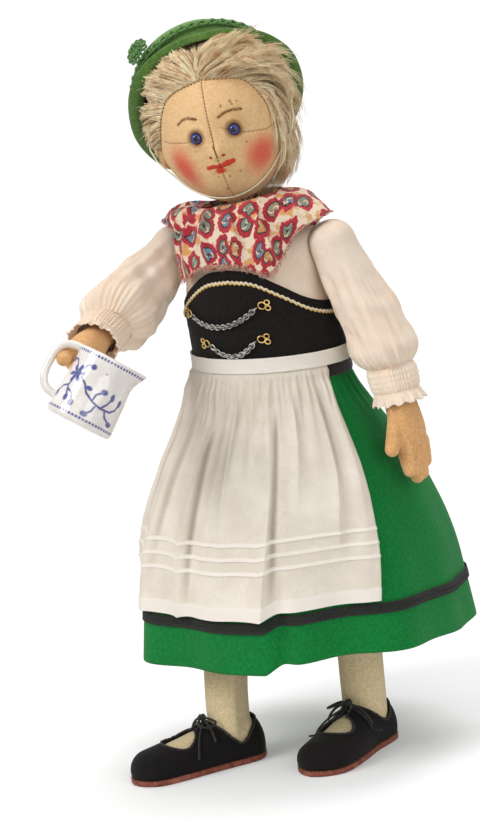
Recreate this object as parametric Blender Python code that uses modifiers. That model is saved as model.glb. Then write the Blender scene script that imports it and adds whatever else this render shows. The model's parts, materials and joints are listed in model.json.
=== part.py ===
"""A jointed felt doll in folk dress, with a small jug hung on its right thumb.

The doll faces -Y and its left side is +X. Sizes are in metres; section tables are in millimetres.
"""
import math

import bmesh
import bpy
from mathutils import Matrix, Vector

for old in list(bpy.data.objects):
    bpy.data.objects.remove(old)

MM = 0.001
GAP = 0.4
LEFT = 1
RIGHT = -1

# The standing place: puts the middle of the doll's outline over the origin
ORIGIN_SHIFT = Vector((-6.0, 31.5, 0.0)) * MM

# Torso sections: height, middle x, middle y, half width, half depth
TORSO_ROWS = [
    (186, 4.0, 2.0, 32.0, 29.0),
    (200, 4.0, 1.0, 40.0, 36.0),
    (215, 4.0, 0.0, 46.0, 41.0),
    (235, 4.5, 0.0, 49.5, 43.0),
    (255, 5.0, 0.0, 50.0, 43.0),
    (270, 5.0, 0.0, 49.0, 42.0),
    (290, 3.0, 0.0, 48.5, 42.5),
    (308, 1.0, -1.0, 47.0, 42.0),
    (324, 0.0, -2.0, 44.0, 40.0),
    (338, -1.0, -3.0, 40.0, 36.0),
    (350, -2.0, -4.0, 33.5, 31.0),
    (359, -2.5, -4.5, 26.0, 25.0),
    (366, -3.0, -5.0, 21.5, 21.5),
    (384, -3.0, -5.0, 20.0, 20.0),
]
TORSO_COLUMNS = 28

# Neck, shoulder and hip joints
NECK = Vector((-3.0, -5.0, 374.0))
HEAD_LEAN = math.radians(8.3)
HEAD_NOD = math.radians(3.0)
HEAD_TURN = math.radians(15.0)
SHOULDER_HEIGHT = 340.0
SHOULDER_X = {LEFT: 47.5, RIGHT: -48.5}
SHOULDER_AXIS = Vector((0.972, -0.19, 0.14))
ARM_SWING = {LEFT: math.radians(-2.0), RIGHT: math.radians(61.0)}
HIP_HEIGHT = 207.0
HIP_X = {LEFT: 28.0, RIGHT: -22.0}
HIP_SCOOP = 27.0
ARM_DISC = 8.0
HIP_DISC = 11.0
NECK_DISC = 11.5

# Head: half width, half depth, half height and height of its middle over the neck joint
HEAD_HALF = Vector((41.0, 43.0, 49.0))
HEAD_MIDDLE = 50.0
EYE_RADIUS = 4.2
EYE_X = {LEFT: 15.0, RIGHT: -10.4}
EYE_HEIGHT = 50.0
WIG_THICK = 4.4
# Hairline: angle round the head from the face, angle down from the crown
HAIRLINE = [(0, 44), (35, 50), (60, 62), (80, 72), (100, 82), (130, 110), (150, 120), (180, 125)]

# Hat: the way its crown points in the head's frame, the brim's place along it, and how far it sits aside
HAT_AXIS = Vector((-0.23, 0.832, 0.505))
HAT_PLACE = 25.6
HAT_ASIDE = Vector((3.5, 0.0, 2.4))
CROWN_RADIUS = 47.0
CROWN_HEIGHT = 33.0
CROWN_SIDE = 14.0
HAT_CORD_HEIGHT = 12.6
BRIM_RADIUS = 58.6
FELT = 2.0
# Bends of the hat, by the angle round its axis: the brim dips, flares out, and the crown leans over
DIP_ANGLE, DIP_WIDE, DIP_DOWN, DIP_IN = math.radians(294.0), math.radians(44.0), 7.5, 4.0
FLARE_ANGLE, FLARE_WIDE, FLARE_OUT = math.radians(150.0), math.radians(32.0), 3.0
LEAN_ANGLE, LEAN_BASE, LEAN = math.radians(240.0), 2.4, 11.0

# Arm sections in the hanging arm: down, outward, forward, half outward, half forward
ARM_ROWS = [
    (-13.5, 11.0, 0.0, 12.0, 13.0),
    (0.0, 11.5, 0.0, 12.5, 13.5),
    (30.0, 19.0, -2.0, 12.5, 13.0),
    (60.0, 28.0, -2.0, 12.0, 12.5),
    (88.0, 34.5, 2.0, 10.5, 11.0),
    (102.0, 37.0, 5.0, 9.5, 10.5),
]
# The left hand hangs open; the right hand is closed round the jug's handle
HAND_ROWS = {
    LEFT: [
        (112.0, 38.5, 6.0, 9.5, 13.0),
        (130.0, 40.0, 6.0, 9.5, 14.5),
        (148.0, 41.0, 7.5, 9.0, 14.5),
        (162.0, 41.5, 8.5, 7.5, 11.0),
    ],
    RIGHT: [
        (110.0, 38.5, 6.0, 10.5, 13.0),
        (122.0, 40.0, 7.0, 12.0, 15.0),
        (135.0, 40.5, 7.0, 9.0, 12.5),
    ],
}
THUMB_ROOT = {LEFT: Vector((38.0, 3.5, 104.0)), RIGHT: Vector((41.5, 10.0, 112.0))}
THUMB_TIP = {LEFT: Vector((37.5, 29.5, 139.0)), RIGHT: Vector((44.5, 27.0, 153.0))}
THUMB_ROWS = [(0, 0, 0, 6.0, 6.5), (14, 0, 0, 6.2, 6.5), (30, 0, 0, 5.3, 5.3), (43.5, 0, 0, 4.6, 4.6)]
# Sleeve and cuff: down, half outward, half forward
SLEEVE_RADII = [
    (-17.0, 14.0, 15.0),
    (0, 15.0, 17.0),
    (25, 17.0, 21.0),
    (50, 20.5, 25.5),
    (70, 22.5, 27.0),
    (79, 20.0, 22.5),
    (84.2, 15.5, 16.0),
]
CUFF_RADII = [
    (84.6, 15.5, 15.5),
    (88, 16.4, 16.4),
    (97, 16.0, 16.0),
    (100, 14.6, 14.6),
    (103, 17.0, 17.0),
    (106.5, 18.5, 18.5),
]

# Leg sections: down from the hip, share of the way to the ankle, half outward, half forward
LEG_ROWS = [
    (-22, 0.0, 18.5, 20.5),
    (0, 0.0, 19.0, 21.5),
    (35, 0.2, 20.0, 21.0),
    (85, 0.5, 17.5, 18.0),
    (125, 0.77, 15.5, 16.0),
    (162, 1.0, 15.0, 15.5),
    (196, 1.02, 14.5, 15.5),
]
LEG_TOP_OUT = 19.0
ANKLE_OUT = {LEFT: 19.0, RIGHT: 11.0}
ANKLE_FORWARD = {LEFT: -1.0, RIGHT: 44.0}
HEEL = {LEFT: Vector((50.0, 21.0, 0.0)), RIGHT: Vector((-20.5, -28.0, 0.0))}
TOE_WAY = {LEFT: Vector((-0.14, -0.99, 0.0)), RIGHT: Vector((-0.60, -0.80, 0.0))}
# Foot sections: along the foot, middle sideways, middle height, half width, half height
FOOT_ROWS = [
    (0, 0.0, 10.0, 12.5, 17.0),
    (14, 0.0, 10.0, 14.5, 20.0),
    (36, 0.0, 10.0, 14.5, 19.0),
    (56, 0.8, 9.0, 16.0, 14.5),
    (76, 1.0, 8.0, 16.5, 11.5),
    (94, 0.0, 8.0, 13.0, 9.5),
]
SHOE_FELT = 2.0
SOLE_THICK = 4.0
SHOE_ROOM = 0.9

# Clothes on the torso: how far each layer lies off the body, and its thickness
BLOUSE_OFF, BLOUSE_THICK = 1.5, 0.9
BODICE_OFF, BODICE_THICK = 2.9, 1.4
BODICE_LOW = 273.0
# Top edge of the bodice: angle from the front, height
BODICE_TOP = [
    (0, 334),
    (20, 331.5),
    (40, 322),
    (60, 311.5),
    (80, 306.5),
    (110, 306),
    (145, 309),
    (180, 311),
]
BRAID_BELOW, BRAID_WIDE = 9.0, 2.4
# Edge of the kerchief: angle from the front towards the left, distance from the neck's middle, height
KERCHIEF_EDGE = [
    (-180, 48.0, 316.0),
    (-140, 46.5, 341.0),
    (-118, 49.0, 356.0),
    (-102, 57.0, 361.0),
    (-88, 57.5, 362.0),
    (-73, 46.5, 356.0),
    (-60, 45.0, 341.0),
    (-45, 44.5, 327.0),
    (-24, 43.0, 334.5),
    (0, 40.5, 336.5),
    (22, 42.5, 335.0),
    (42, 46.5, 329.5),
    (55, 45.5, 340.0),
    (68, 46.0, 352.0),
    (86, 59.0, 361.0),
    (102, 58.0, 361.5),
    (118, 49.0, 356.0),
    (140, 46.5, 341.0),
    (180, 48.0, 316.0),
]
KERCHIEF_NECK = 26.0
KERCHIEF_RISE = 1.0

# Skirt sections: height, middle x, middle y, half width, half depth
SKIRT_ROWS = [
    (76, 8.0, 3.0, 112.0, 107.0),
    (110, 8.0, 3.0, 109.0, 104.0),
    (140, 8.0, 3.0, 104.5, 99.5),
    (170, 8.0, 2.0, 96.0, 92.0),
    (200, 8.5, 1.0, 82.5, 79.0),
    (225, 8.0, 0.0, 67.5, 63.5),
    (245, 6.0, 0.0, 57.0, 50.5),
    (257, 5.0, 0.0, 52.6, 45.6),
]
SKIRT_COLUMNS = 56
SKIRT_HEM = 78.0
SKIRT_TOP = 255.2
SKIRT_THICK = 1.4
FOLD_DEPTH = 7.0
# Where the skirt is hitched up beside a fold in front: angle, and how far its hem is lifted
HITCH_ROWS = [(0.10, 0.0), (0.34, 6.0), (1.05, 6.0), (1.65, 0.0)]
WAISTBAND_LOW, WAISTBAND_HIGH = 257.0, 272.4
APRON_BAND_LOW, APRON_BAND_HIGH = 262.0, 275.5
APRON_HEM = 114.5
# Side edges of the apron: angle from the front towards the left, at the hem and at the waist
APRON_SIDES = {
    LEFT: (math.radians(50.0), math.radians(63.0)),
    RIGHT: (math.radians(-80.0), math.radians(-80.0)),
}
# Plaits of the apron: share of its width, depth, and how far below the band it begins and ends
APRON_PLAITS = [
    (0.16, 4.0, 8.0, 150.0),
    (0.30, 4.5, 10.0, 170.0),
    (0.435, 7.5, 26.0, 190.0),
    (0.545, 5.0, 8.0, 100.0),
    (0.615, 4.5, 4.0, 66.0),
    (0.695, 7.0, 18.0, 190.0),
    (0.785, 5.5, 8.0, 92.0),
    (0.90, 4.5, 6.0, 130.0),
]
# Columns of the apron's cloth, on the plaits' ridges and in the hollows between them
APRON_COLUMNS = [
    0.0, 0.08, 0.16, 0.195, 0.25, 0.30, 0.335, 0.385, 0.435, 0.47, 0.51, 0.545, 0.575, 0.615, 0.645, 0.695, 0.73,
    0.785, 0.82, 0.86, 0.90, 0.935, 1.0,
]
APRON_FULL = 1.8
SKIRT_BRAID_LOW, SKIRT_BRAID_HIGH = 105.0, 112.0

# Jug
JUG_HEIGHT = 48.0
JUG_LEAN = math.radians(30.5)
JUG_BACK = math.radians(27.0)
JUG_MIDDLE = Vector((26.6, 0.0, -9.0))
# The handle is a rounded square: its middle, half sizes and how square it is
HANDLE_X, HANDLE_Z, HANDLE_WIDE, HANDLE_HALF, HANDLE_SQUARE = -19.5, 4.0, 15.0, 17.0, 0.7
HANDLE_THICK = 2.6

SLOTS = {
    "flesh_felt": ((0.80, 0.62, 0.42), 0.9, 0.0),
    "mohair": ((0.83, 0.72, 0.52), 0.8, 0.0),
    "eye_glass": ((0.12, 0.14, 0.45), 0.1, 0.0),
    "hat_felt": ((0.05, 0.28, 0.07), 0.95, 0.0),
    "hat_cord": ((0.08, 0.30, 0.06), 0.85, 0.0),
    "elastic": ((0.85, 0.80, 0.68), 0.7, 0.0),
    "blouse_cotton": ((0.90, 0.85, 0.78), 0.85, 0.0),
    "kerchief_cotton": ((0.62, 0.16, 0.14), 0.85, 0.0),
    "bodice_felt": ((0.015, 0.014, 0.016), 0.9, 0.0),
    "gold_braid": ((0.80, 0.62, 0.28), 0.5, 0.3),
    "chain_metal": ((0.62, 0.62, 0.60), 0.35, 1.0),
    "hook_brass": ((0.75, 0.58, 0.28), 0.35, 1.0),
    "skirt_felt": ((0.02, 0.36, 0.10), 0.95, 0.0),
    "black_braid": ((0.02, 0.02, 0.02), 0.8, 0.0),
    "apron_cotton": ((0.93, 0.91, 0.87), 0.8, 0.0),
    "button": ((0.90, 0.88, 0.80), 0.4, 0.0),
    "shoe_felt": ((0.02, 0.02, 0.022), 0.9, 0.0),
    "sole_leather": ((0.30, 0.10, 0.06), 0.6, 0.0),
    "porcelain": ((0.90, 0.91, 0.93), 0.15, 0.0),
    "joint_board": ((0.45, 0.33, 0.20), 0.8, 0.0),
    "joint_steel": ((0.55, 0.55, 0.56), 0.4, 1.0),
}

doll = bpy.data.collections.new("felt_doll")
cutters = bpy.data.collections.new("cutters")
bpy.context.scene.collection.children.link(doll)
bpy.context.scene.collection.children.link(cutters)

materials = {}
for slot, (colour, roughness, metallic) in SLOTS.items():
    material = bpy.data.materials.new(slot)
    material.use_nodes = True
    shader = material.node_tree.nodes["Principled BSDF"]
    shader.inputs["Base Color"].default_value = (*colour, 1.0)
    shader.inputs["Roughness"].default_value = roughness
    shader.inputs["Metallic"].default_value = metallic
    material.diffuse_color = (*colour, 1.0)
    materials[slot] = material


def pivot(name, matrix, parent=None):
    """An empty on a joint or at a piece's own place."""
    empty = bpy.data.objects.new(name, None)
    empty.empty_display_size = 0.01
    doll.objects.link(empty)
    empty.parent = parent
    empty.matrix_local = matrix
    return empty


def place(name, data, slot, parent, matrix=None):
    """One named piece of the doll, in its material, under its pivot."""
    obj = bpy.data.objects.new(name, data)
    data.materials.clear()
    data.materials.append(materials[slot])
    doll.objects.link(obj)
    obj.parent = parent
    if matrix is not None:
        obj.matrix_local = matrix
    return obj


def cutter(name, data, parent, matrix=None):
    """A form that only cuts or joins other pieces."""
    obj = bpy.data.objects.new(name, data)
    cutters.objects.link(obj)
    obj.parent = parent
    if matrix is not None:
        obj.matrix_local = matrix
    obj.hide_render = True
    obj.display_type = "WIRE"
    return obj


def combine(target, tool, operation="DIFFERENCE"):
    """Cut one form out of a piece, or join it on."""
    step = target.modifiers.new(operation.lower(), "BOOLEAN")
    step.operation = operation
    step.solver = "EXACT"
    step.object = tool


def between(rows, at):
    """A table's row at one place, eased through its neighbours by a cubic."""
    at = min(max(at, rows[0][0]), rows[-1][0])
    i = 0
    while i < len(rows) - 2 and at > rows[i + 1][0]:
        i += 1
    low, high = rows[i], rows[i + 1]
    before, after = rows[max(i - 1, 0)], rows[min(i + 2, len(rows) - 1)]
    span = high[0] - low[0]
    t = (at - low[0]) / span
    row = [at]
    for k in range(1, len(low)):
        start = (high[k] - before[k]) / (high[0] - before[0]) * span
        finish = (after[k] - low[k]) / (after[0] - low[0]) * span
        rise = high[k] - low[k]
        cubic = start + finish - 2.0 * rise
        square = 3.0 * rise - 2.0 * start - finish
        row.append(low[k] + t * (start + t * (square + t * cubic)))
    return row


def mesh_from(name, bm):
    """A finished mesh with its faces turned outwards."""
    bmesh.ops.recalc_face_normals(bm, faces=bm.faces[:])
    if bm.calc_volume(signed=True) < 0.0:
        bmesh.ops.reverse_faces(bm, faces=bm.faces[:])
    mesh = bpy.data.meshes.new(name)
    bm.to_mesh(mesh)
    bm.free()
    return mesh


def stuffed(rows, caps, columns, levels, lay, swell=0.0, wave=None):
    """A stuffed form: a sphere's rings spread over a table of sections, rounded at both ends."""
    first, last = rows[0][0] - swell, rows[-1][0] + swell
    bm = bmesh.new()
    bmesh.ops.create_uvsphere(bm, u_segments=columns, v_segments=levels, radius=1.0)
    for vert in bm.verts:
        at = first + (last - first) * (1.0 - vert.co.z) / 2.0
        row = between(rows, at)
        shrink = 1.0
        for end, cap in ((at - first, caps[0]), (last - at, caps[1])):
            if end < cap:
                shrink *= math.sqrt(max(1.0 - ((cap - end) / cap) ** 2, 0.0))
        turn = Vector((vert.co.x, vert.co.y))
        if turn.length > 1e-5:
            turn.normalize()
        else:
            shrink = 0.0
        ripple = wave(at, math.atan2(turn.y, turn.x)) if wave else 0.0
        across = row[1] + turn.x * (row[3] + swell + ripple) * shrink
        along = row[2] + turn.y * (row[4] + swell + ripple) * shrink
        vert.co = lay(across, along, at) * MM
    return bm


def sliced(bm, point, normal):
    """The form with everything past a plane taken off and the cut face closed."""
    geometry = bm.verts[:] + bm.edges[:] + bm.faces[:]
    result = bmesh.ops.bisect_plane(
        bm, geom=geometry, plane_co=Vector(point) * MM, plane_no=Vector(normal), clear_outer=True
    )
    edges = [item for item in result["geom_cut"] if isinstance(item, bmesh.types.BMEdge)]
    bmesh.ops.edgeloop_fill(bm, edges=edges)
    return bm


def sheet(name, columns, rows, thickness, lay, slot, parent):
    """A cloth piece: a grid laid by lay(across, up), thickened outwards; a full turn closes on itself."""
    bm = bmesh.new()
    bmesh.ops.create_grid(bm, x_segments=columns, y_segments=rows, size=0.5)
    for vert in bm.verts:
        vert.co = lay(vert.co.x + 0.5, vert.co.y + 0.5) * MM
    bmesh.ops.remove_doubles(bm, verts=bm.verts[:], dist=1e-6)
    mesh = bpy.data.meshes.new(name)
    bm.to_mesh(mesh)
    bm.free()
    obj = place(name, mesh, slot, parent)
    thick = obj.modifiers.new("thickness", "SOLIDIFY")
    thick.thickness = thickness * MM
    thick.offset = 1.0
    return obj


def profile_mesh(name, points, closed=False):
    """A chain of edges in the XZ plane, to be turned."""
    mesh = bpy.data.meshes.new(name)
    count = len(points)
    edges = [(i, i + 1) for i in range(count - 1)]
    if closed:
        edges.append((count - 1, 0))
    mesh.from_pydata([Vector((r, 0.0, z)) * MM for r, z in points], edges, [])
    return mesh


def turn(obj, steps):
    """Turn a profile round its own Z axis into a solid."""
    screw = obj.modifiers.new("turned", "SCREW")
    screw.axis = "Z"
    screw.angle = math.tau
    screw.steps = steps
    screw.render_steps = steps
    screw.use_merge_vertices = True
    screw.merge_threshold = 0.00002
    return obj


def spun(profile, steps, bent, closed=False):
    """A profile turned round Z whose points are then moved by a rule in millimetres."""
    bm = bmesh.new()
    line = [bm.verts.new(Vector((radius, 0.0, height)) * MM) for radius, height in profile]
    edges = [bm.edges.new(pair) for pair in zip(line, line[1:])]
    if closed:
        edges.append(bm.edges.new((line[-1], line[0])))
    bmesh.ops.spin(
        bm, geom=line + edges, cent=(0, 0, 0), axis=(0, 0, 1), dvec=(0, 0, 0), angle=math.tau,
        steps=steps, use_merge=True
    )
    bmesh.ops.remove_doubles(bm, verts=bm.verts[:], dist=1e-6)
    for vert in bm.verts:
        vert.co = bent(vert.co / MM) * MM
    return bm


def cord(name, points, radius, slot, parent, closed=False):
    """A round cord through a row of points, with flat ends."""
    curve = bpy.data.curves.new(name, "CURVE")
    curve.dimensions = "3D"
    curve.bevel_depth = radius * MM
    curve.bevel_resolution = 1
    curve.use_fill_caps = True
    spline = curve.splines.new("POLY")
    spline.points.add(len(points) - 1)
    for knot, point in zip(spline.points, points):
        knot.co = (*(Vector(point) * MM), 1.0)
    spline.use_cyclic_u = closed
    return place(name, curve, slot, parent)


def fold_angle(degrees):
    """An angle from the front, folded onto one side and kept within half a turn."""
    return abs((degrees + 180.0) % 360.0 - 180.0)


def on_torso(height, angle, off):
    """A point off the torso's skin; the angle runs from the front towards the doll's left."""
    row = between(TORSO_ROWS, height)
    x = row[1] + (row[3] + off) * math.sin(angle)
    y = row[2] - (row[4] + off) * math.cos(angle)
    return Vector((x, y, height))


def on_skirt(height, angle, off):
    """A point off the skirt's cloth, whose folds deepen towards the hem."""
    row = between(SKIRT_ROWS, height)
    share = min(max((250.0 - height) / 170.0, 0.0), 1.0)
    fold = 0.65 * math.cos(7.0 * angle - 1.1) + 0.35 * math.cos(11.0 * angle + 2.0)
    extra = off + FOLD_DEPTH * share * share * fold
    x = row[1] + (row[3] + extra) * math.sin(angle)
    y = row[2] - (row[4] + extra) * math.cos(angle)
    hitch = between(HITCH_ROWS, math.remainder(angle, math.tau))[1]
    return Vector((x, y, height + hitch * share ** 1.5))


def upright(across, along, at):
    return Vector((across, along, at))


root = pivot("felt_doll_stand", Matrix.Translation(ORIGIN_SHIFT))

# Frames of the moving pieces
head_turned = (
    Matrix.Rotation(-HEAD_LEAN, 4, "Y")
    @ Matrix.Rotation(HEAD_NOD, 4, "X")
    @ Matrix.Rotation(HEAD_TURN, 4, "Z")
)
head_pivot = pivot("neck_joint", Matrix.Translation(NECK * MM) @ head_turned, root)


def arm_frame(side):
    """The arm's frame: X away from the doll's middle plane, Y forward, Z down, then swung."""
    out = Vector((side * SHOULDER_AXIS.x, SHOULDER_AXIS.y, SHOULDER_AXIS.z)).normalized()
    across = out * side
    down = Vector((0.0, 0.0, -1.0))
    down = (down - out * out.dot(down)).normalized()
    ahead = down.cross(across)
    frame = Matrix((across, ahead, down)).transposed().to_4x4()
    frame.translation = Vector((SHOULDER_X[side], 0.0, SHOULDER_HEIGHT)) * MM
    return frame @ Matrix.Rotation(-ARM_SWING[side], 4, "X")


def foot_frame(side):
    """The foot's frame: Y from heel to toe, Z up from the floor."""
    ahead = TOE_WAY[side].normalized()
    up = Vector((0.0, 0.0, 1.0))
    frame = Matrix((ahead.cross(up), ahead, up)).transposed().to_4x4()
    frame.translation = HEEL[side] * MM
    return frame


SIDE_NAMES = {LEFT: "left", RIGHT: "right"}
arm_pivot = {}
leg_pivot = {}
foot_pivot = {}
for side, word in SIDE_NAMES.items():
    arm_pivot[side] = pivot(word + "_shoulder_joint", arm_frame(side), root)
    hip_place = Matrix.Translation(Vector((HIP_X[side], 0.0, HIP_HEIGHT)) * MM)
    leg_pivot[side] = pivot(word + "_hip_joint", hip_place @ Matrix.Rotation(math.pi, 4, "X"), root)
    foot_pivot[side] = pivot(word + "_foot_place", foot_frame(side), root)

# Joint hardware: a disc on each side of the joint, held together by a headed pin


def disc_joint(word, parent, matrix, radius):
    """Two board discs and a pin along the joint's axis, and the pockets they lie in."""
    limb_disc = [(1.7, 7.6), (radius, 7.6), (radius, 6.0), (1.7, 6.0)]
    body_disc = [(1.7, -8.0), (radius, -8.0), (radius, -9.6), (1.7, -9.6)]
    pin = [(0, 9.6), (3, 9.6), (3, 8.5), (1.25, 8.5), (1.25, -10.5), (3, -10.5), (3, -11.6), (0, -11.6)]
    wide = radius + 0.6
    limb_room = [(0, 10.4), (wide, 10.4), (wide, 5.0), (1.9, 5.0), (1.9, -2.0), (0, -2.0)]
    body_room = [(0, 2.0), (1.9, 2.0), (1.9, -7.0), (wide, -7.0), (wide, -12.4), (0, -12.4)]
    turn(place(word + "_limb_disc", profile_mesh("disc", limb_disc, True), "joint_board", parent, matrix), 10)
    turn(place(word + "_body_disc", profile_mesh("disc", body_disc, True), "joint_board", parent, matrix), 10)
    turn(place(word + "_pin", profile_mesh("pin", pin), "joint_steel", parent, matrix), 8)
    limb_tool = cutter(word + "_limb_room", profile_mesh("room", limb_room), parent, matrix)
    body_tool = cutter(word + "_body_room", profile_mesh("room", body_room), parent, matrix)
    return turn(limb_tool, 10), turn(body_tool, 10)


neck_rooms = disc_joint("neck", head_pivot, Matrix(), NECK_DISC)
shoulder_rooms = {}
hip_rooms = {}
for side, word in SIDE_NAMES.items():
    outward = Matrix.Rotation(side * math.pi / 2.0, 4, "Y")
    shoulder_rooms[side] = disc_joint(word + "_shoulder", arm_pivot[side], outward, ARM_DISC)
    hip_rooms[side] = disc_joint(word + "_hip", leg_pivot[side], outward, HIP_DISC)

# Torso, with a flat pad at each shoulder and a scoop for each thigh

torso_form = stuffed(TORSO_ROWS, (14.0, 1.0), TORSO_COLUMNS, 18, upright)
neck_axis = head_turned.to_3x3() @ Vector((0.0, 0.0, 1.0))
sliced(torso_form, NECK - neck_axis * GAP, neck_axis)
torso = place("torso", mesh_from("torso", torso_form), "flesh_felt", root)


def drum(radius, low, high, steps):
    """A plain cylinder along Z between two heights."""
    bm = bmesh.new()
    middle = Matrix.Translation((0.0, 0.0, (low + high) / 2.0 * MM))
    bmesh.ops.create_cone(
        bm, cap_ends=True, segments=steps, radius1=radius * MM, radius2=radius * MM,
        depth=(high - low) * MM, matrix=middle
    )
    return mesh_from("drum", bm)


armholes = {}
for side, word in SIDE_NAMES.items():
    outward = Matrix.Rotation(side * math.pi / 2.0, 4, "Y")
    pad = cutter(word + "_shoulder_pad", drum(11.0, -20.0, -GAP, 14), arm_pivot[side], outward)
    scoop = cutter(word + "_hip_scoop", drum(HIP_SCOOP, -GAP, 60.0, 20), leg_pivot[side], outward)
    armholes[side] = cutter(word + "_armhole", drum(12.2, -26.0, 20.0, 16), arm_pivot[side], outward)
    combine(torso, pad, "UNION")
    combine(torso, scoop)
for side in SIDE_NAMES:
    combine(torso, shoulder_rooms[side][1])
    combine(torso, hip_rooms[side][1])
combine(torso, neck_rooms[1])

# Head, ears and eyes


def on_head(way, off):
    """A point off the head's skin, some way from its middle: full cheeks, a small nose and chin."""
    way = way.normalized()
    cheek = 1.0 + 0.045 * math.exp(-(((way.z + 0.28) / 0.30) ** 2))
    nose = math.exp(-((way.x / 0.13) ** 2) - ((way.z + 0.26) / 0.15) ** 2) if way.y < 0.0 else 0.0
    chin = math.exp(-((way.x / 0.30) ** 2) - ((way.z + 0.72) / 0.20) ** 2) if way.y < 0.0 else 0.0
    x = way.x * (HEAD_HALF.x * cheek + off)
    y = way.y * (HEAD_HALF.y + off) - 4.0 * nose - 3.0 * chin
    z = way.z * (HEAD_HALF.z + off)
    return Vector((x, y, z + HEAD_MIDDLE))


def head_form(off, columns, levels):
    bm = bmesh.new()
    bmesh.ops.create_uvsphere(bm, u_segments=columns, v_segments=levels, radius=1.0)
    for vert in bm.verts:
        vert.co = on_head(vert.co, off) * MM
    return bm


def ball(radii, columns, levels):
    """A ball with its own half sizes."""
    bm = bmesh.new()
    bmesh.ops.create_uvsphere(bm, u_segments=columns, v_segments=levels, radius=1.0)
    for vert in bm.verts:
        vert.co = Vector((vert.co.x * radii[0], vert.co.y * radii[1], vert.co.z * radii[2])) * MM
    return bm


head_bm = sliced(head_form(0.0, 24, 16), (0.0, 0.0, GAP), (0.0, 0.0, -1.0))
head = place("head", mesh_from("head", head_bm), "flesh_felt", head_pivot)
skull = cutter("head_clearance", mesh_from("head_clearance", head_form(GAP, 24, 16)), head_pivot)
for side, word in SIDE_NAMES.items():
    spot = on_head(Vector((EYE_X[side] / 41.0, -0.93, (EYE_HEIGHT - HEAD_MIDDLE) / 49.0)), -2.2)
    eye_place = Matrix.Translation(spot * MM) @ Matrix.Rotation(math.pi / 2.0, 4, "X")
    eye_mesh = mesh_from("eye", ball((EYE_RADIUS,) * 3, 10, 7))
    place(word + "_eye", eye_mesh, "eye_glass", head_pivot, eye_place)
    room = mesh_from("eye_room", ball((EYE_RADIUS + 0.6,) * 3, 10, 7))
    combine(head, cutter(word + "_eye_room", room, head_pivot, eye_place))
    lobe = Vector((side * 42.5, -3.5, 41.0)) * MM
    ear_place = Matrix.Translation(lobe) @ Matrix.Rotation(side * -0.35, 4, "Z")
    ear_mesh = mesh_from("ear", ball((3.6, 6.5, 9.0), 12, 8))
    ear = place(word + "_ear", ear_mesh, "flesh_felt", head_pivot, ear_place)
    combine(ear, skull)
combine(head, neck_rooms[0])

# Wig: a cap of hair from the hairline back over the crown

wig_bm = bmesh.new()
bmesh.ops.create_uvsphere(wig_bm, u_segments=26, v_segments=16, radius=1.0)
low_ring = [vert for vert in wig_bm.verts if vert.co.z < -0.2]
bmesh.ops.delete(wig_bm, geom=low_ring, context="VERTS")
lowest = min(vert.co.z for vert in wig_bm.verts)
for vert in wig_bm.verts:
    share = math.acos(min(max(vert.co.z, -1.0), 1.0)) / math.acos(lowest)
    around = math.atan2(vert.co.x, -vert.co.y)
    line = between(HAIRLINE, fold_angle(math.degrees(around)))[1]
    down = math.radians(line) * share
    way = Vector((math.sin(down) * math.sin(around), -math.sin(down) * math.cos(around), math.cos(down)))
    vert.co = on_head(way, 2.0) * MM
wig = place("wig", mesh_from("wig", wig_bm), "mohair", head_pivot)
wig_thick = wig.modifiers.new("thickness", "SOLIDIFY")
wig_thick.thickness = WIG_THICK * MM
wig_thick.offset = 1.0

# Hat, the cord round its crown and the chin strap

hat_way = HAT_AXIS.normalized()
hat_turn = Vector((0.0, 0.0, 1.0)).rotation_difference(hat_way).to_matrix().to_4x4()
hat_spot = Vector((0.0, 0.0, HEAD_MIDDLE)) + HAT_ASIDE + hat_way * HAT_PLACE
hat_pivot = pivot("hat_place", Matrix.Translation(hat_spot * MM) @ hat_turn, head_pivot)
CROWN_STEPS = 4
hat_outside = []
hat_inside = []
for step in range(CROWN_STEPS + 1):
    bend = math.pi / 2.0 * step / CROWN_STEPS
    across, rise = math.sin(bend), math.cos(bend)
    for wall, off in ((hat_outside, FELT), (hat_inside, 0.0)):
        dome = CROWN_HEIGHT - CROWN_SIDE + off
        wall.append(((CROWN_RADIUS + off) * across, CROWN_SIDE + dome * rise))
brim_top = [(CROWN_RADIUS + FELT + 0.5, 3.0), (BRIM_RADIUS - 5.0, 3.5), (BRIM_RADIUS, 7.0)]
brim_under = [(BRIM_RADIUS + 1.6, 5.4), (BRIM_RADIUS - 4.4, 1.4), (CROWN_RADIUS, 0.6)]
hat_profile = hat_outside + brim_top + brim_under + hat_inside[::-1]
band_radius = CROWN_RADIUS + FELT + 2.6
band_profile = []
for step in range(5):
    bend = -math.tau * step / 5
    band_profile.append((band_radius + 1.7 * math.cos(bend), HAT_CORD_HEIGHT + 2.6 * math.sin(bend)))


def near_angle(around, middle, wide):
    """One at an angle round the hat, falling off on both sides of it."""
    away = (around - middle + math.pi) % math.tau - math.pi
    return math.exp(-((away / wide) ** 2))


def crown_lean(height, share):
    """How far the crown is pushed over at a height, as a vector across the hat's axis."""
    lean = (LEAN_BASE + LEAN * max(height - 5.0, 0.0) / 26.0) * share
    return Vector((lean * math.cos(LEAN_ANGLE), lean * math.sin(LEAN_ANGLE), 0.0))


def bent_hat(point):
    """Where a point of the turned hat lies once the brim is bent and the crown leans."""
    radius, around = math.hypot(point.x, point.y), math.atan2(point.y, point.x)
    rim = min(max((radius - CROWN_RADIUS - 1.4) / 8.0, 0.0), 1.0)
    dip = rim * near_angle(around, DIP_ANGLE, DIP_WIDE)
    radius += rim * FLARE_OUT * near_angle(around, FLARE_ANGLE, FLARE_WIDE) - DIP_IN * dip
    bent = Vector((radius * math.cos(around), radius * math.sin(around), point.z - DIP_DOWN * dip))
    return bent + crown_lean(point.z, 1.0 - rim)


def bent_band(point):
    return point + crown_lean(HAT_CORD_HEIGHT, 1.0)


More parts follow.
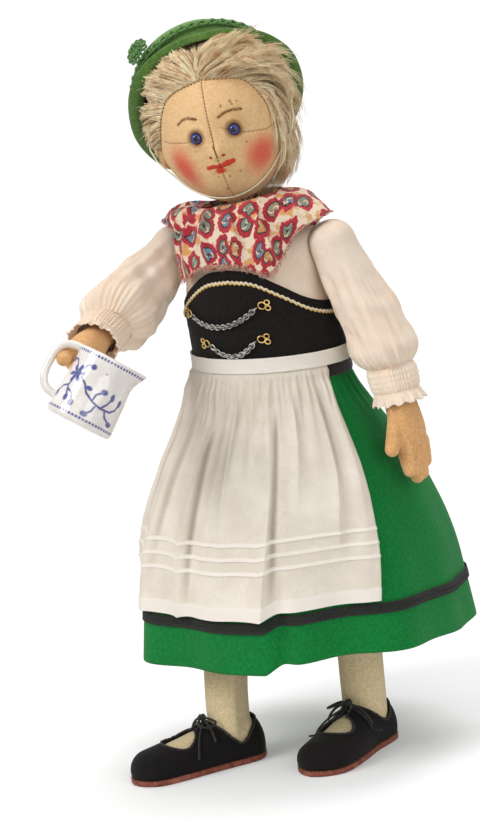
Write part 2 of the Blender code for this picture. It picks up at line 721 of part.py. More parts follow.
hat_bm = spun(hat_profile, 28, bent_hat)
place("hat", mesh_from("hat", hat_bm), "hat_felt", hat_pivot)
band_bm = spun(band_profile, 28, bent_band, True)
place("hat_cord", mesh_from("hat_cord", band_bm), "hat_cord", hat_pivot)

STRAP_POINTS = 25
STRAP_REACH = math.radians(104.0)
strap_path = []
for step in range(STRAP_POINTS):
    bend = STRAP_REACH * (2.0 * step / (STRAP_POINTS - 1) - 1.0)
    share = abs(bend) / STRAP_REACH
    way = Vector((math.sin(bend), -0.55 * math.cos(bend * 0.86), -math.cos(bend)))
    strap_path.append(on_head(way, 1.3 + 6.4 * min(max((share - 0.62) / 0.2, 0.0), 1.0)))
cord("chin_strap", strap_path, 0.6, "elastic", head_pivot)

# Clothes on the torso


def blouse_lay(across, up):
    return on_torso(297.0 + 68.0 * up, math.tau * across, BLOUSE_OFF)


blouse = sheet("blouse", TORSO_COLUMNS, 5, BLOUSE_THICK, blouse_lay, "blouse_cotton", root)
for side in SIDE_NAMES:
    combine(blouse, armholes[side])


def bodice_top(angle):
    return between(BODICE_TOP, fold_angle(math.degrees(angle)))[1]


def bodice_lay(across, up):
    angle = math.tau * across
    return on_torso(BODICE_LOW + (bodice_top(angle) - BODICE_LOW) * up, angle, BODICE_OFF)


sheet("bodice", TORSO_COLUMNS, 4, BODICE_THICK, bodice_lay, "bodice_felt", root)
BODICE_FACE = BODICE_OFF + BODICE_THICK


def braid_lay(across, up):
    angle = math.tau * across
    return on_torso(bodice_top(angle) - BRAID_BELOW + BRAID_WIDE * up, angle, BODICE_FACE + 0.5)


sheet("bodice_braid", TORSO_COLUMNS, 1, 0.9, braid_lay, "gold_braid", root)


def kerchief_lay(across, up):
    """From the edge over the shoulders and chest up to the neck, with soft folds round it."""
    angle = math.tau * (across - 0.5)
    edge = between(KERCHIEF_EDGE, math.degrees(angle))
    away = 1.0 - up
    swell = math.sin(math.pi * away)
    radius = KERCHIEF_NECK + (edge[1] - KERCHIEF_NECK) * away + 2.8 * swell
    radius += 0.8 * swell * math.cos(8.0 * angle)
    reach = Vector((math.sin(angle), -math.cos(angle), 0.0))
    collar = NECK.z + KERCHIEF_RISE - KERCHIEF_NECK * reach.dot(neck_axis) / neck_axis.z
    height = collar + (edge[2] - collar) * away + 2.0 * swell
    return Vector((NECK.x, NECK.y, height)) + reach * radius


sheet("kerchief", TORSO_COLUMNS, 4, 1.2, kerchief_lay, "kerchief_cotton", root)


def swag(start, finish, sag):
    """A chain's way over the bodice between two hooks: angle in degrees and height of each end."""
    points = []
    for step in range(13):
        t = step / 12.0
        angle = math.radians(start[0] + (finish[0] - start[0]) * t)
        height = start[1] + (finish[1] - start[1]) * t - 4.0 * sag * t * (1.0 - t)
        points.append(on_torso(height, angle, BODICE_FACE + 1.9))
    return points


HOOK_RADIUS, HOOK_WIRE = 2.2, 0.6
wire_section = []
for step in range(5):
    bend = -math.tau * step / 5
    wire_section.append((HOOK_WIRE * math.cos(bend), HOOK_WIRE * math.sin(bend)))
CHAINS = {"upper": ((-37.5, 303.5), (19.0, 308.5), 9.0), "lower": ((-22.0, 284.0), (13.0, 286.5), 8.0)}
for word, (start, finish, sag) in CHAINS.items():
    cord(word + "_chain", swag(start, finish, sag), 1.1, "chain_metal", root)
    for end, (degrees, height), step in (("right", start, -1), ("left", finish, 1)):
        angle = math.radians(degrees + 5.0 * step)
        spot = on_torso(height + 1.5, angle, BODICE_FACE + 1.2)
        facing = Matrix.Rotation(angle, 4, "Z") @ Matrix.Rotation(math.pi / 2.0, 4, "X")
        ring = [(HOOK_RADIUS + x, y) for x, y in wire_section]
        hook_mesh = profile_mesh("hook", ring, True)
        hook_place = Matrix.Translation(spot * MM) @ facing
        turn(place(word + "_" + end + "_hook", hook_mesh, "hook_brass", root, hook_place), 10)


def waistband_lay(across, up):
    return on_torso(WAISTBAND_LOW + (WAISTBAND_HIGH - WAISTBAND_LOW) * up, math.tau * across, BODICE_OFF)


def apron_band_lay(across, up):
    return on_torso(APRON_BAND_LOW + (APRON_BAND_HIGH - APRON_BAND_LOW) * up, math.tau * across, 4.9)


sheet("skirt_waistband", TORSO_COLUMNS, 1, 1.3, waistband_lay, "black_braid", root)
sheet("apron_band", TORSO_COLUMNS, 1, 1.2, apron_band_lay, "apron_cotton", root)
button_spot = on_torso(268.7, math.pi, 6.6)
button_face = Matrix.Translation(button_spot * MM) @ Matrix.Rotation(-math.pi / 2.0, 4, "X")
button_profile = [(0, 1.8), (3.6, 1.8), (4.4, 1.2), (4.4, 0.4), (3.6, 0.0), (0, 0.0)]
turn(place("apron_button", profile_mesh("button", button_profile), "button", root, button_face), 14)


def skirt_lay(across, up):
    return on_skirt(SKIRT_HEM + (SKIRT_TOP - SKIRT_HEM) * up, math.tau * across, -SKIRT_THICK)


def skirt_braid_lay(across, up):
    return on_skirt(SKIRT_BRAID_LOW + (SKIRT_BRAID_HIGH - SKIRT_BRAID_LOW) * up, math.tau * across, 0.6)


SKIRT_ROUNDS = 6
skirt_heights = [SKIRT_HEM + (SKIRT_TOP - SKIRT_HEM) * k / SKIRT_ROUNDS for k in range(SKIRT_ROUNDS + 1)]
apron_heights = [APRON_HEM] + skirt_heights[2:] + [APRON_BAND_LOW - 0.8]


def apron_relief(across, below):
    """How far the gathered cloth stands out: full all over, and more on each plait."""
    out = APRON_FULL * min(max(below / 12.0, 0.0), 1.0)
    for middle, deep, start, end in APRON_PLAITS:
        run = between([(start, 0.0), (start + 25.0, 1.0), (end - 45.0, 1.0), (end, 0.0)], below)[1]
        aside = across - middle
        out += deep * min(max(run, 0.0), 1.0) * math.exp(aside / 0.042 if aside < 0.0 else -aside / 0.015)
    return out


def apron_lay(column, up):
    across = APRON_COLUMNS[round(column * (len(APRON_COLUMNS) - 1))]
    height = apron_heights[round(up * (len(apron_heights) - 1))]
    off = 1.7 + 1.3 * min(max((height - 236.0) / 18.0, 0.0), 1.0)
    off += apron_relief(across, APRON_BAND_LOW - height)
    rise = (height - APRON_HEM) / (APRON_BAND_LOW - APRON_HEM)
    right, left = [low + (high - low) * rise for low, high in (APRON_SIDES[RIGHT], APRON_SIDES[LEFT])]
    return on_skirt(height, right + (left - right) * across, off)


sheet("skirt", SKIRT_COLUMNS, SKIRT_ROUNDS, SKIRT_THICK, skirt_lay, "skirt_felt", root)
sheet("skirt_braid", SKIRT_COLUMNS, 1, 1.0, skirt_braid_lay, "black_braid", root)
sheet("apron", len(APRON_COLUMNS) - 1, len(apron_heights) - 1, 1.0, apron_lay, "apron_cotton", root)

# Arms with mitten hands, sleeves and cuffs


def arm_lay(side):
    return lambda across, along, at: Vector((side * across, along, at))


def thumb_lay(side):
    root_spot = THUMB_ROOT[side]
    way = (THUMB_TIP[side] - root_spot).normalized()
    first = Vector((1.0, 0.0, 0.0))
    first = (first - way * first.dot(way)).normalized()
    second = way.cross(first)

    def lay(across, along, at):
        spot = root_spot + way * at + first * across + second * along
        return Vector((side * spot.x, spot.y, spot.z))

    return lay


def tube_rows(radii):
    """Section rows that follow the arm's middle line with their own radii."""
    rows = []
    for at, wide, deep in radii:
        row = between(ARM_ROWS + HAND_ROWS[LEFT], at)
        rows.append((at, row[1], row[2], wide, deep))
    return rows


def frill(at, around):
    return 1.1 * math.cos(10.0 * around) * min(max((at - 101.0) / 4.0, 0.0), 1.0)


for side, word in SIDE_NAMES.items():
    inner_face = ((side * GAP, 0.0, 0.0), (-side, 0.0, 0.0))
    lay = arm_lay(side)
    rows = ARM_ROWS + HAND_ROWS[side]
    arm_bm = sliced(stuffed(rows, (11.0, 9.0), 14, 13, lay), *inner_face)
    arm = place(word + "_arm", mesh_from("arm", arm_bm), "flesh_felt", arm_pivot[side])
    thumb_bm = stuffed(THUMB_ROWS, (5.0, 5.0), 10, 8, thumb_lay(side))
    combine(arm, cutter(word + "_thumb", mesh_from("thumb", thumb_bm), arm_pivot[side]), "UNION")
    combine(arm, shoulder_rooms[side][0])
    room_bm = stuffed(rows, (11.0, 9.0), 14, 13, lay, swell=GAP)
    arm_room = cutter(word + "_arm_room", mesh_from("arm_room", room_bm), arm_pivot[side])
    sleeve_bm = sliced(stuffed(tube_rows(SLEEVE_RADII), (13.0, 1.5), 14, 9, lay), *inner_face)
    sleeve = place(word + "_sleeve", mesh_from("sleeve", sleeve_bm), "blouse_cotton", arm_pivot[side])
    combine(sleeve, arm_room)
    cuff_bm = stuffed(tube_rows(CUFF_RADII), (1.0, 0.8), 20, 7, lay, wave=frill)
    cuff = place(word + "_cuff", mesh_from("cuff", cuff_bm), "blouse_cotton", arm_pivot[side])
    combine(cuff, arm_room)

# Legs, shoes, soles and laces


def leg_table(side):
    rows = []
    for down, share, wide, deep in LEG_ROWS:
        out = LEG_TOP_OUT + (ANKLE_OUT[side] - LEG_TOP_OUT) * share
        rows.append((down, out, ANKLE_FORWARD[side] * share, wide, deep))
    return rows


def foot_lay(side):
    return lambda across, along, at: Vector((-side * across, at, along))


def sole_rows():
    """The foot's plan with upright walls."""
    return [(at, mid, 0.0, wide, 400.0) for at, mid, height, wide, deep in FOOT_ROWS]


for side, word in SIDE_NAMES.items():
    rows = leg_table(side)
    lay = arm_lay(side)
    step_lay = foot_lay(side)
    floor = ((0.0, 0.0, SOLE_THICK + GAP), (0.0, 0.0, -1.0))
    leg_bm = sliced(stuffed(rows, (18.0, 6.0), 14, 12, lay), (side * GAP, 0.0, 0.0), (-side, 0.0, 0.0))
    leg = place(word + "_leg", mesh_from("leg", leg_bm), "flesh_felt", leg_pivot[side])
    foot_bm = sliced(stuffed(FOOT_ROWS, (10.0, 12.0), 12, 10, step_lay), *floor)
    combine(leg, cutter(word + "_foot", mesh_from("foot", foot_bm), foot_pivot[side]), "UNION")
    combine(leg, hip_rooms[side][0])
    leg_room_bm = stuffed(rows, (18.0, 6.0), 14, 12, lay, swell=SHOE_ROOM)
    leg_room = cutter(word + "_leg_room", mesh_from("leg_room", leg_room_bm), leg_pivot[side])
    foot_room_bm = stuffed(FOOT_ROWS, (10.0, 12.0), 12, 10, step_lay, swell=SHOE_ROOM)
    foot_room = cutter(word + "_foot_room", mesh_from("foot_room", foot_room_bm), foot_pivot[side])
    shoe_bm = sliced(stuffed(FOOT_ROWS, (11.0, 13.0), 14, 11, step_lay, swell=SHOE_FELT), *floor)
    shoe = place(word + "_shoe", mesh_from("shoe", shoe_bm), "shoe_felt", foot_pivot[side])
    combine(shoe, foot_room)
    combine(shoe, leg_room)
    keyhole_place = Matrix.Translation(Vector((0.0, 58.0, 26.0)) * MM)
    keyhole = mesh_from("keyhole", ball((7.5, 10.0, 9.0), 12, 8))
    combine(shoe, cutter(word + "_keyhole", keyhole, foot_pivot[side], keyhole_place))
    sole_bm = stuffed(sole_rows(), (13.0, 15.0), 12, 24, step_lay, swell=SHOE_FELT + 0.6)
    sliced(sole_bm, (0.0, 0.0, SOLE_THICK), (0.0, 0.0, 1.0))
    sliced(sole_bm, (0.0, 0.0, 0.0), (0.0, 0.0, -1.0))
    place(word + "_sole", mesh_from("sole", sole_bm), "sole_leather", foot_pivot[side])
    lace_path = []
    for step in range(9):
        bend = math.radians(-62.0 + 15.5 * step)
        lace_path.append((18.6 * math.sin(bend), 41.5, 10.0 + 22.6 * math.cos(bend)))
    cord(word + "_lace", lace_path, 0.9, "black_braid", foot_pivot[side])

# Jug: its pivot is where the thumb goes through the handle

thumb_reach = THUMB_TIP[RIGHT] - THUMB_ROOT[RIGHT]
thumb_way = Vector((-thumb_reach.x, thumb_reach.y, thumb_reach.z))
thumb_spot = THUMB_ROOT[RIGHT] + thumb_reach * 0.84
arm_matrix = arm_frame(RIGHT)
jug_back = -(arm_matrix.to_3x3() @ thumb_way).normalized()
jug_up = Vector((0.0, 0.0, 1.0))
jug_up = (jug_up - jug_back * jug_up.dot(jug_back)).normalized()
jug_frame = Matrix((jug_back.cross(jug_up), jug_back, jug_up)).transposed().to_4x4()
jug_frame.translation = arm_matrix @ (Vector((-thumb_spot.x, thumb_spot.y, thumb_spot.z)) * MM)
jug_lean = Matrix.Rotation(JUG_LEAN, 4, "Y") @ Matrix.Rotation(-JUG_BACK, 4, "X")
jug_pivot = pivot("jug_joint", jug_frame @ jug_lean, root)
half = JUG_HEIGHT / 2.0
outer_wall = [
    (20.6, half),
    (21.0, half - 4.0),
    (20.3, half - 14.0),
    (21.2, 0.0),
    (22.4, 4.0 - half),
    (22.0, -half),
]
inner_wall = [(19.2, 6.0 - half), (19.0, 0.0), (18.3, half - 14.0), (19.0, half - 4.0), (19.0, half)]
jug_profile = outer_wall + [(0.0, -half)]
inside_profile = [(19.0, half + 4.0)] + inner_wall[::-1] + [(18.0, 3.5 - half), (0.0, 3.5 - half)]
jug_place = Matrix.Translation(JUG_MIDDLE * MM)


def drawn_lip(point):
    """The jug's rim drawn out on the side away from the handle."""
    lift = min(max((point.z - half + 16.0) / 16.0, 0.0), 1.0)
    pull = 6.0 * lift * lift * math.exp(-((math.atan2(point.y, point.x) / 0.38) ** 2))
    return point + Vector((pull, 0.0, 0.0))


jug_bm = spun([(0.0, half)] + jug_profile, 20, drawn_lip)
jug = place("jug", mesh_from("jug", jug_bm), "porcelain", jug_pivot, jug_place)
handle_points = []
for step in range(11):
    bend = math.radians(90.0 + 180.0 * step / 10.0)
    out = max(-math.cos(bend), 0.0) ** HANDLE_SQUARE
    rise = math.copysign(abs(math.sin(bend)) ** HANDLE_SQUARE, math.sin(bend))
    handle_points.append((HANDLE_X - HANDLE_WIDE * out, 0.0, HANDLE_Z + HANDLE_HALF * rise))
handle_curve = cord("handle_curve", handle_points, HANDLE_THICK, "porcelain", jug_pivot)
solid_curve = handle_curve.evaluated_get(bpy.context.evaluated_depsgraph_get())
handle_mesh = bpy.data.meshes.new_from_object(solid_curve)
bpy.data.objects.remove(handle_curve)
handle_bm = bmesh.new()
handle_bm.from_mesh(handle_mesh)
bmesh.ops.remove_doubles(handle_bm, verts=handle_bm.verts[:], dist=1e-6)
handle_mesh = mesh_from("handle", handle_bm)
combine(jug, cutter("handle", handle_mesh, jug_pivot, jug_place), "UNION")
inside_bm = spun([(0.0, half + 4.0)] + inside_profile, 20, drawn_lip)
combine(jug, cutter("jug_inside", mesh_from("jug_inside", inside_bm), jug_pivot, jug_place))
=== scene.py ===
# %% [markdown]
# # A felt doll in folk dress
# The doll is a stuffed felt body in real clothes: a hat, a wig, a printed kerchief, a blouse, a black bodice
# with chains, an apron over a green skirt, and shoes. The solid model already stands in the scene as a fixed
# frame, so every piece below is laid on it by the same measures, and nothing has to be fitted afterwards.
# %% The frame
import json
import math
from contextlib import contextmanager
from functools import partialmethod

import bmesh
import bpy
import numpy as np
from mathutils import Matrix, Vector

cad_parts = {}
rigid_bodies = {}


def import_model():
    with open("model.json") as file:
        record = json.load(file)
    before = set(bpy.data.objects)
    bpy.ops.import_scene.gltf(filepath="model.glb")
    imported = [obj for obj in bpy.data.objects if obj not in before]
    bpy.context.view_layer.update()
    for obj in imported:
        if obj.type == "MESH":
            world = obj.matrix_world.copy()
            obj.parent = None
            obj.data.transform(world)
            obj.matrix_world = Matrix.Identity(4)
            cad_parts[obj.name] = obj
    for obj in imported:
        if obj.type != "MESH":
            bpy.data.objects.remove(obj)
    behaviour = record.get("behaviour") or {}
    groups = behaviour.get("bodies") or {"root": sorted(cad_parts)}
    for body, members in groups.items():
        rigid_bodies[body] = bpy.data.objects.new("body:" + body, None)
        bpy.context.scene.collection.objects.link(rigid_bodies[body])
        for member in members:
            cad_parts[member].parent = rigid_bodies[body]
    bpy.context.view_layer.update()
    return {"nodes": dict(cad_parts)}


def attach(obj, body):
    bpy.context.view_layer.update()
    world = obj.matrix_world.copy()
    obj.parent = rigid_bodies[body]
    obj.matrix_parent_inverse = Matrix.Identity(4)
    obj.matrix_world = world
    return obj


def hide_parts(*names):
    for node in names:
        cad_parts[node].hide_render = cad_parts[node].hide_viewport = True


for old in list(bpy.data.objects):
    bpy.data.objects.remove(old)
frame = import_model()
scene = bpy.context.scene
MM = 0.001
LEFT, RIGHT = 1, -1
SIDES = {LEFT: "left", RIGHT: "right"}
STAND = np.array((-6.0, 25.5, 0.0))


def stood(name, data):
    """An object of the scene, with its mesh, lamp or camera."""
    made = bpy.data.objects.new(name, data)
    scene.collection.objects.link(made)
    return made


# %% [markdown]
# The camera stands to the doll's left, a little above its middle, and far away, as for a catalogue picture.
# The picture is tipped, so the camera is rolled until the doll leans as it does there. Turning the camera to
# its aim first and rolling it after about its own line of view keeps the roll apart from the aim.
# %% Camera
CAMERA_AZIMUTH = math.radians(25.0)
CAMERA_AWAY, CAMERA_HEIGHT = 2.0, 0.62
CAMERA_ROLL = math.radians(6.0)
AIM_SIDE, AIM_HEIGHT = -0.0205, 0.232
LENS = 133.0

stand = Vector(STAND) * MM
sideways = Vector((math.cos(CAMERA_AZIMUTH), math.sin(CAMERA_AZIMUTH), 0.0))
aim = sideways * AIM_SIDE + Vector((0.0, 0.0, AIM_HEIGHT))
eye = Vector((math.sin(CAMERA_AZIMUTH), -math.cos(CAMERA_AZIMUTH), 0.0)) * CAMERA_AWAY
eye.z = CAMERA_HEIGHT
view_way = (aim - eye).normalized()
camera_data = bpy.data.cameras.new("camera")
camera_data.lens = LENS
camera = stood("camera", camera_data)
camera.matrix_world = (
    Matrix.Translation(eye + stand)
    @ view_way.to_track_quat("-Z", "Y").to_matrix().to_4x4()
    @ Matrix.Rotation(-CAMERA_ROLL, 4, "Z")
)
scene.camera = camera
print("camera:", [round(x, 3) for x in camera.location])

# %% [markdown]
# Three large soft lamps give the even light of a studio. The picture is written without a film look, so
# colours keep the values they are given.
# %% Lamps
scene.view_settings.view_transform = "Standard"
LAMP_AIM = Vector((0.0, 0.0, 0.25))
LAMPS = {
    "key_lamp": ((-1.5, -2.0, 2.0), 1.6, 47.0),
    "fill_lamp": ((1.9, -1.6, 1.1), 2.0, 20.0),
    "top_lamp": ((0.2, 0.9, 2.4), 1.6, 22.0),
}
for name, (spot, size, power) in LAMPS.items():
    lamp_data = bpy.data.lights.new(name, "AREA")
    lamp_data.shape = "DISK"
    lamp_data.size = size
    lamp_data.energy = power
    lamp = stood(name, lamp_data)
    lamp.location = spot
    lamp.rotation_euler = (LAMP_AIM - Vector(spot)).to_track_quat("-Z", "Y").to_euler()

# %% [markdown]
# Every finish below is made of nodes. Writing `1 - mask` reads better than wiring a Math node, so a small
# class wraps a socket and turns each operator into its node. Any other node comes from `Finish.node`, which
# sets the node's settings first and then its sockets.
# %% Shader sums
def fill(tree, node, sockets):
    """Lead values and sockets into a node, and set its other sockets to plain numbers."""
    for name, item in sockets.items():
        source = item.socket if isinstance(item, Value) else item
        if isinstance(source, bpy.types.NodeSocket):
            tree.links.new(source, node.inputs[name])
        else:
            node.inputs[name].default_value = source
    return node


class Value:
    """A shader socket that can be reckoned with like a number."""

    def __init__(self, tree, socket):
        self.tree = tree
        self.socket = socket

    def math(self, operation, *others, first=None):
        """The operation on this value and the others, or on a number and this value, as for `1 - mask`."""
        node = self.tree.nodes.new("ShaderNodeMath")
        node.operation = operation
        items = (self, *others) if first is None else (first, self)
        return Value(self.tree, fill(self.tree, node, dict(enumerate(items))).outputs[0])

    __add__ = partialmethod(math, "ADD")
    __sub__ = partialmethod(math, "SUBTRACT")
    __mul__ = partialmethod(math, "MULTIPLY")
    least = partialmethod(math, "MINIMUM")
    most = partialmethod(math, "MAXIMUM")
    root = partialmethod(math, "SQRT")
    wave = partialmethod(math, "COSINE")

    def __rsub__(self, other):
        return self.math("SUBTRACT", first=other)

    def step(self, low, high):
        """0 below low and 1 above high, eased between; falling where low is the larger."""
        node = self.tree.nodes.new("ShaderNodeMapRange")
        node.interpolation_type = "SMOOTHSTEP"
        sockets = {"Value": self, "From Min": min(low, high), "From Max": max(low, high)}
        sockets.update({"To Min": float(low >= high), "To Max": float(low < high)})
        return Value(self.tree, fill(self.tree, node, sockets).outputs["Result"])


class Finish:
    """One material, built up from nodes around its Principled shader."""

    def __init__(self, name, **constants):
        self.material = bpy.data.materials.new(name)
        self.material.use_nodes = True
        self.tree = self.material.node_tree
        self.shader = self.tree.nodes["Principled BSDF"]
        self.feed(**constants)

    def feed(self, **sockets):
        """Lead values or plain numbers into the shader's own sockets."""
        fill(self.tree, self.shader, {name.replace("_", " "): item for name, item in sockets.items()})

    def node(self, kind, settings, sockets, out=0):
        made = self.tree.nodes.new(kind)
        for name, setting in settings.items():
            setattr(made, name, setting)
        return Value(self.tree, fill(self.tree, made, sockets).outputs[out])

    def place(self):
        """Object coordinates, in metres."""
        return self.node("ShaderNodeTexCoord", {}, {}, "Object")

    def split(self, vector):
        """The first two numbers of a vector."""
        parts = fill(self.tree, self.tree.nodes.new("ShaderNodeSeparateXYZ"), {0: vector})
        return [Value(self.tree, parts.outputs[k]) for k in range(2)]

    def chart(self):
        """The piece's own map, in millimetres: two numbers that follow the surface."""
        return self.split(self.node("ShaderNodeUVMap", {"uv_map": "chart"}, {}))

    def noise(self, where, scale, detail=2.0, roughness=0.5, stretch=None):
        if stretch:
            where = self.node("ShaderNodeMapping", {}, {"Vector": where, "Scale": stretch})
        sockets = {"Vector": where, "Scale": scale, "Detail": detail, "Roughness": roughness}
        return self.node("ShaderNodeTexNoise", {}, sockets)

    def mix(self, share, first, second):
        """From the first colour to the second as share goes from 0 to 1."""
        first, second = (tint(item) if isinstance(item, str) else item for item in (first, second))
        return self.node("ShaderNodeMix", {"data_type": "RGBA"}, {0: share, 6: first, 7: second}, 2)

    def paint(self, share, colour, under=None):
        """Lay a colour where share is 1, over another one or over what has been painted so far."""
        self.shades = self.mix(share, under or self.shades, colour)
        self.feed(Base_Color=self.shades)

    def bump(self, height, depth):
        """Relief of the given depth in metres."""
        sockets = {"Height": height, "Distance": depth, "Strength": 1.0}
        self.feed(Normal=self.node("ShaderNodeBump", {}, sockets))


def tint(code):
    """A colour as it is seen, such as c8a070, as the linear numbers that the nodes take."""
    shades = [int(code[i:i + 2], 16) / 255.0 for i in (0, 2, 4)]
    return (*(s / 12.92 if s <= 0.04045 else ((s + 0.055) / 1.055) ** 2.4 for s in shades), 1.0)


def mottled(name, dark, light, scale, detail=2.0, roughness=0.5, edges=None, depth=0.0, **constants):
    """A finish that wanders between two colours; the same grain may be its relief."""
    finish = Finish(name, **constants)
    grain = finish.noise(finish.place(), scale, detail, roughness)
    finish.paint(grain.step(*edges) if edges else grain, light, dark)
    if depth:
        finish.bump(grain, depth)
    return finish.material


# %% [markdown]
# The floor is a plain pale sheet. Near the doll it is lit by the lamps and takes its soft shadow, with a
# faint glow for the camera; farther off the glow takes over, so that the sheet fades into a white background.
# The world is white to the camera too, and weaker where it lights the doll.
# %% Floor and world
def background_rays(tree):
    """1 for the rays that show the background: the camera's, those of reflections and those through glass."""
    paths = tree.nodes.new("ShaderNodeLightPath")
    camera_ray, glossy, through = [Value(tree, paths.outputs["Is %s Ray" % kind])
                                   for kind in ("Camera", "Glossy", "Transmission")]
    return camera_ray.most(glossy).most(through)


FLOOR_HALF, FLOOR_NEAR, FLOOR_FAR = 12.0, 0.28, 0.85
FLOOR_PALE, FLOOR_GLOW, WORLD_ON_DOLL = 0.9, 0.12, 0.55
floor_mesh = bpy.data.meshes.new("floor")
corners = [(x * FLOOR_HALF, y * FLOOR_HALF, 0.0) for x, y in ((-1, -1), (1, -1), (1, 1), (-1, 1))]
floor_mesh.from_pydata(corners, [], [(0, 1, 2, 3)])
floor = stood("floor", floor_mesh)
paper = Finish("paper_floor", Roughness=0.9, Emission_Strength=1.0)
away = paper.node("ShaderNodeVectorMath", {"operation": "LENGTH"}, {0: paper.place()}, "Value")
far = away.step(FLOOR_NEAR, FLOOR_FAR)
glow = background_rays(paper.tree) * (far * (1.0 - FLOOR_GLOW) + FLOOR_GLOW)
paper.feed(Base_Color=FLOOR_PALE - far * FLOOR_PALE, Emission_Color=glow)
floor_mesh.materials.append(paper.material)

world = bpy.data.worlds.new("studio")
scene.world = world
world.use_nodes = True
sky = world.node_tree
strength = background_rays(sky) * (1.0 - WORLD_ON_DOLL) + WORLD_ON_DOLL
fill(sky, sky.nodes["Background"], {"Color": (1.0, 1.0, 1.0, 1.0), "Strength": strength})
print("lamps:", len(LAMPS))

# %% [markdown]
# Most pieces are skins: a grid of points laid over a table of cross-sections, with its own map in millimetres
# so that weave, print and stitches follow the cloth. The tables are the same ones as in the solid model, and
# the same cubic eases them, so each skin lies on its solid.
# %% Skins
SEAM_GAP, NO_AREA = 2e-7, 1e-14


def eased(rows, at):
    """A table's rows at many places, eased through their neighbours by a cubic."""
    table = np.array(rows, float)
    places = table[:, 0]
    at = np.clip(np.asarray(at, float), places[0], places[-1])
    i = np.clip(np.searchsorted(places, at, side="left") - 1, 0, len(places) - 2)
    low, high = table[i], table[i + 1]
    before, after = table[np.maximum(i - 1, 0)], table[np.minimum(i + 2, len(places) - 1)]
    span = high[..., :1] - low[..., :1]
    t = (at[..., None] - low[..., :1]) / span
    start = (high - before) / (high[..., :1] - before[..., :1]) * span
    finish = (after - low) / (after[..., :1] - low[..., :1]) * span
    rise = high - low
    return low + t * (start + t * (3 * rise - 2 * start - finish + t * (start + finish - 2 * rise)))


def grid(columns, rows, first=(0.0, 1.0), second=(0.0, 1.0)):
    """Two numbers over a grid: across (columns) and up (rows)."""
    return np.meshgrid(np.linspace(*first, columns + 1), np.linspace(*second, rows + 1))


def ease(x, low, high):
    """0 below low and 1 above high, eased between."""
    t = np.clip((np.asarray(x, float) - low) / (high - low), 0.0, 1.0)
    return t * t * (3.0 - 2.0 * t)


def bell(x, middle, wide):
    return np.exp(-(((x - middle) / wide) ** 2))


def zigzag(turn):
    """A pointed wave between -1 and 1."""
    return np.arcsin(np.sin(turn)) / (math.pi / 2)


def ripple(u, v, seed, wave=20.0, octaves=3):
    """Smooth unevenness between about -1 and 1 over a map in millimetres: a sum of crossing waves."""
    dice = np.random.default_rng(seed)
    total = np.zeros(np.broadcast(u, v).shape)
    for octave in range(octaves):
        for _ in range(4):
            way, shift = dice.uniform(0.0, math.tau, 2)
            long = wave * dice.uniform(0.7, 1.3) / 1.9 ** octave
            total += np.sin((u * math.cos(way) + v * math.sin(way)) * math.tau / long + shift) / 1.8 ** octave
    return total / 4.0


def world_points(points, place=None):
    """Points of a frame of the doll, in mm, as metres in the scene."""
    points = np.asarray(points, float)
    if place is not None:
        points = points @ place[:3, :3].T + place[:3, 3]
    return (points + STAND) * MM


def length_of(path):
    return float(np.linalg.norm(np.diff(path, axis=0), axis=1).sum())


@contextmanager
def edited(mesh):
    """The mesh opened for editing and written back."""
    bm = bmesh.new()
    bm.from_mesh(mesh)
    yield bm
    bm.to_mesh(mesh)
    bm.free()


def smoothed(piece):
    piece.data.polygons.foreach_set("use_smooth", np.ones(len(piece.data.polygons), bool))
    return piece


def new_piece(name, vertices, faces, finish, chart=None):
    """A mesh object from plain arrays; doubled seams and poles are closed, the map stays on the corners."""
    mesh = bpy.data.meshes.new(name)
    mesh.from_pydata(vertices.tolist(), [], faces.tolist())
    if chart is not None:
        layer = mesh.uv_layers.new(name="chart")
        corners = np.zeros(len(mesh.loops), np.int32)
        mesh.loops.foreach_get("vertex_index", corners)
        layer.data.foreach_set("uv", chart[corners].astype(np.float32).ravel())
    with edited(mesh) as bm:
        bmesh.ops.remove_doubles(bm, verts=bm.verts[:], dist=SEAM_GAP)
        flat = [face for face in bm.faces if face.calc_area() < NO_AREA]
        bmesh.ops.delete(bm, geom=flat, context="FACES_ONLY")
    mesh.materials.append(finish)
    return smoothed(stood(name, mesh))


def quads_of(points):
    """The faces of a grid of points, as numbers of its points row by row."""
    rows, columns = points.shape[:2]
    r, c = np.meshgrid(np.arange(rows - 1), np.arange(columns - 1), indexing="ij")
    near = (r * columns + c).ravel()
    return np.stack((near, near + 1, near + columns + 1, near + columns), -1)


def thicken(piece, thick):
    """Give the cloth its thickness on the inner side."""
    wall = piece.modifiers.new("thickness", "SOLIDIFY")
    wall.thickness = thick * MM
    wall.offset = -1.0
    return wall


def skin(name, points, finish, chart=None, place=None, flip=False, thick=0.0):
    """A skin over a grid of points, with a thickness where it is cloth."""
    quads = quads_of(points)[:, ::-1] if flip else quads_of(points)
    chart = None if chart is None else np.stack(np.broadcast_arrays(*chart), -1).reshape(-1, 2)
    piece = new_piece(name, world_points(points, place).reshape(-1, 3), quads, finish, chart)
    if thick:
        thicken(piece, thick).use_even_offset = True
    return piece


def applied(piece):
    """The piece with its modifiers turned into a plain mesh."""
    solid = piece.evaluated_get(bpy.context.evaluated_depsgraph_get())
    mesh = bpy.data.meshes.new_from_object(solid)
    piece.modifiers.clear()
    piece.data = mesh
    return smoothed(piece)


def wear(piece, body, slot, *nodes):
    """The piece rides on a body and stands for its solids, which it hides. The slot is not used."""
    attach(piece, body)
    if nodes:
        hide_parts(*nodes)


def area_of(piece):
    """Area of one face of the cloth, in square metres."""
    return sum(polygon.area for polygon in piece.data.polygons)


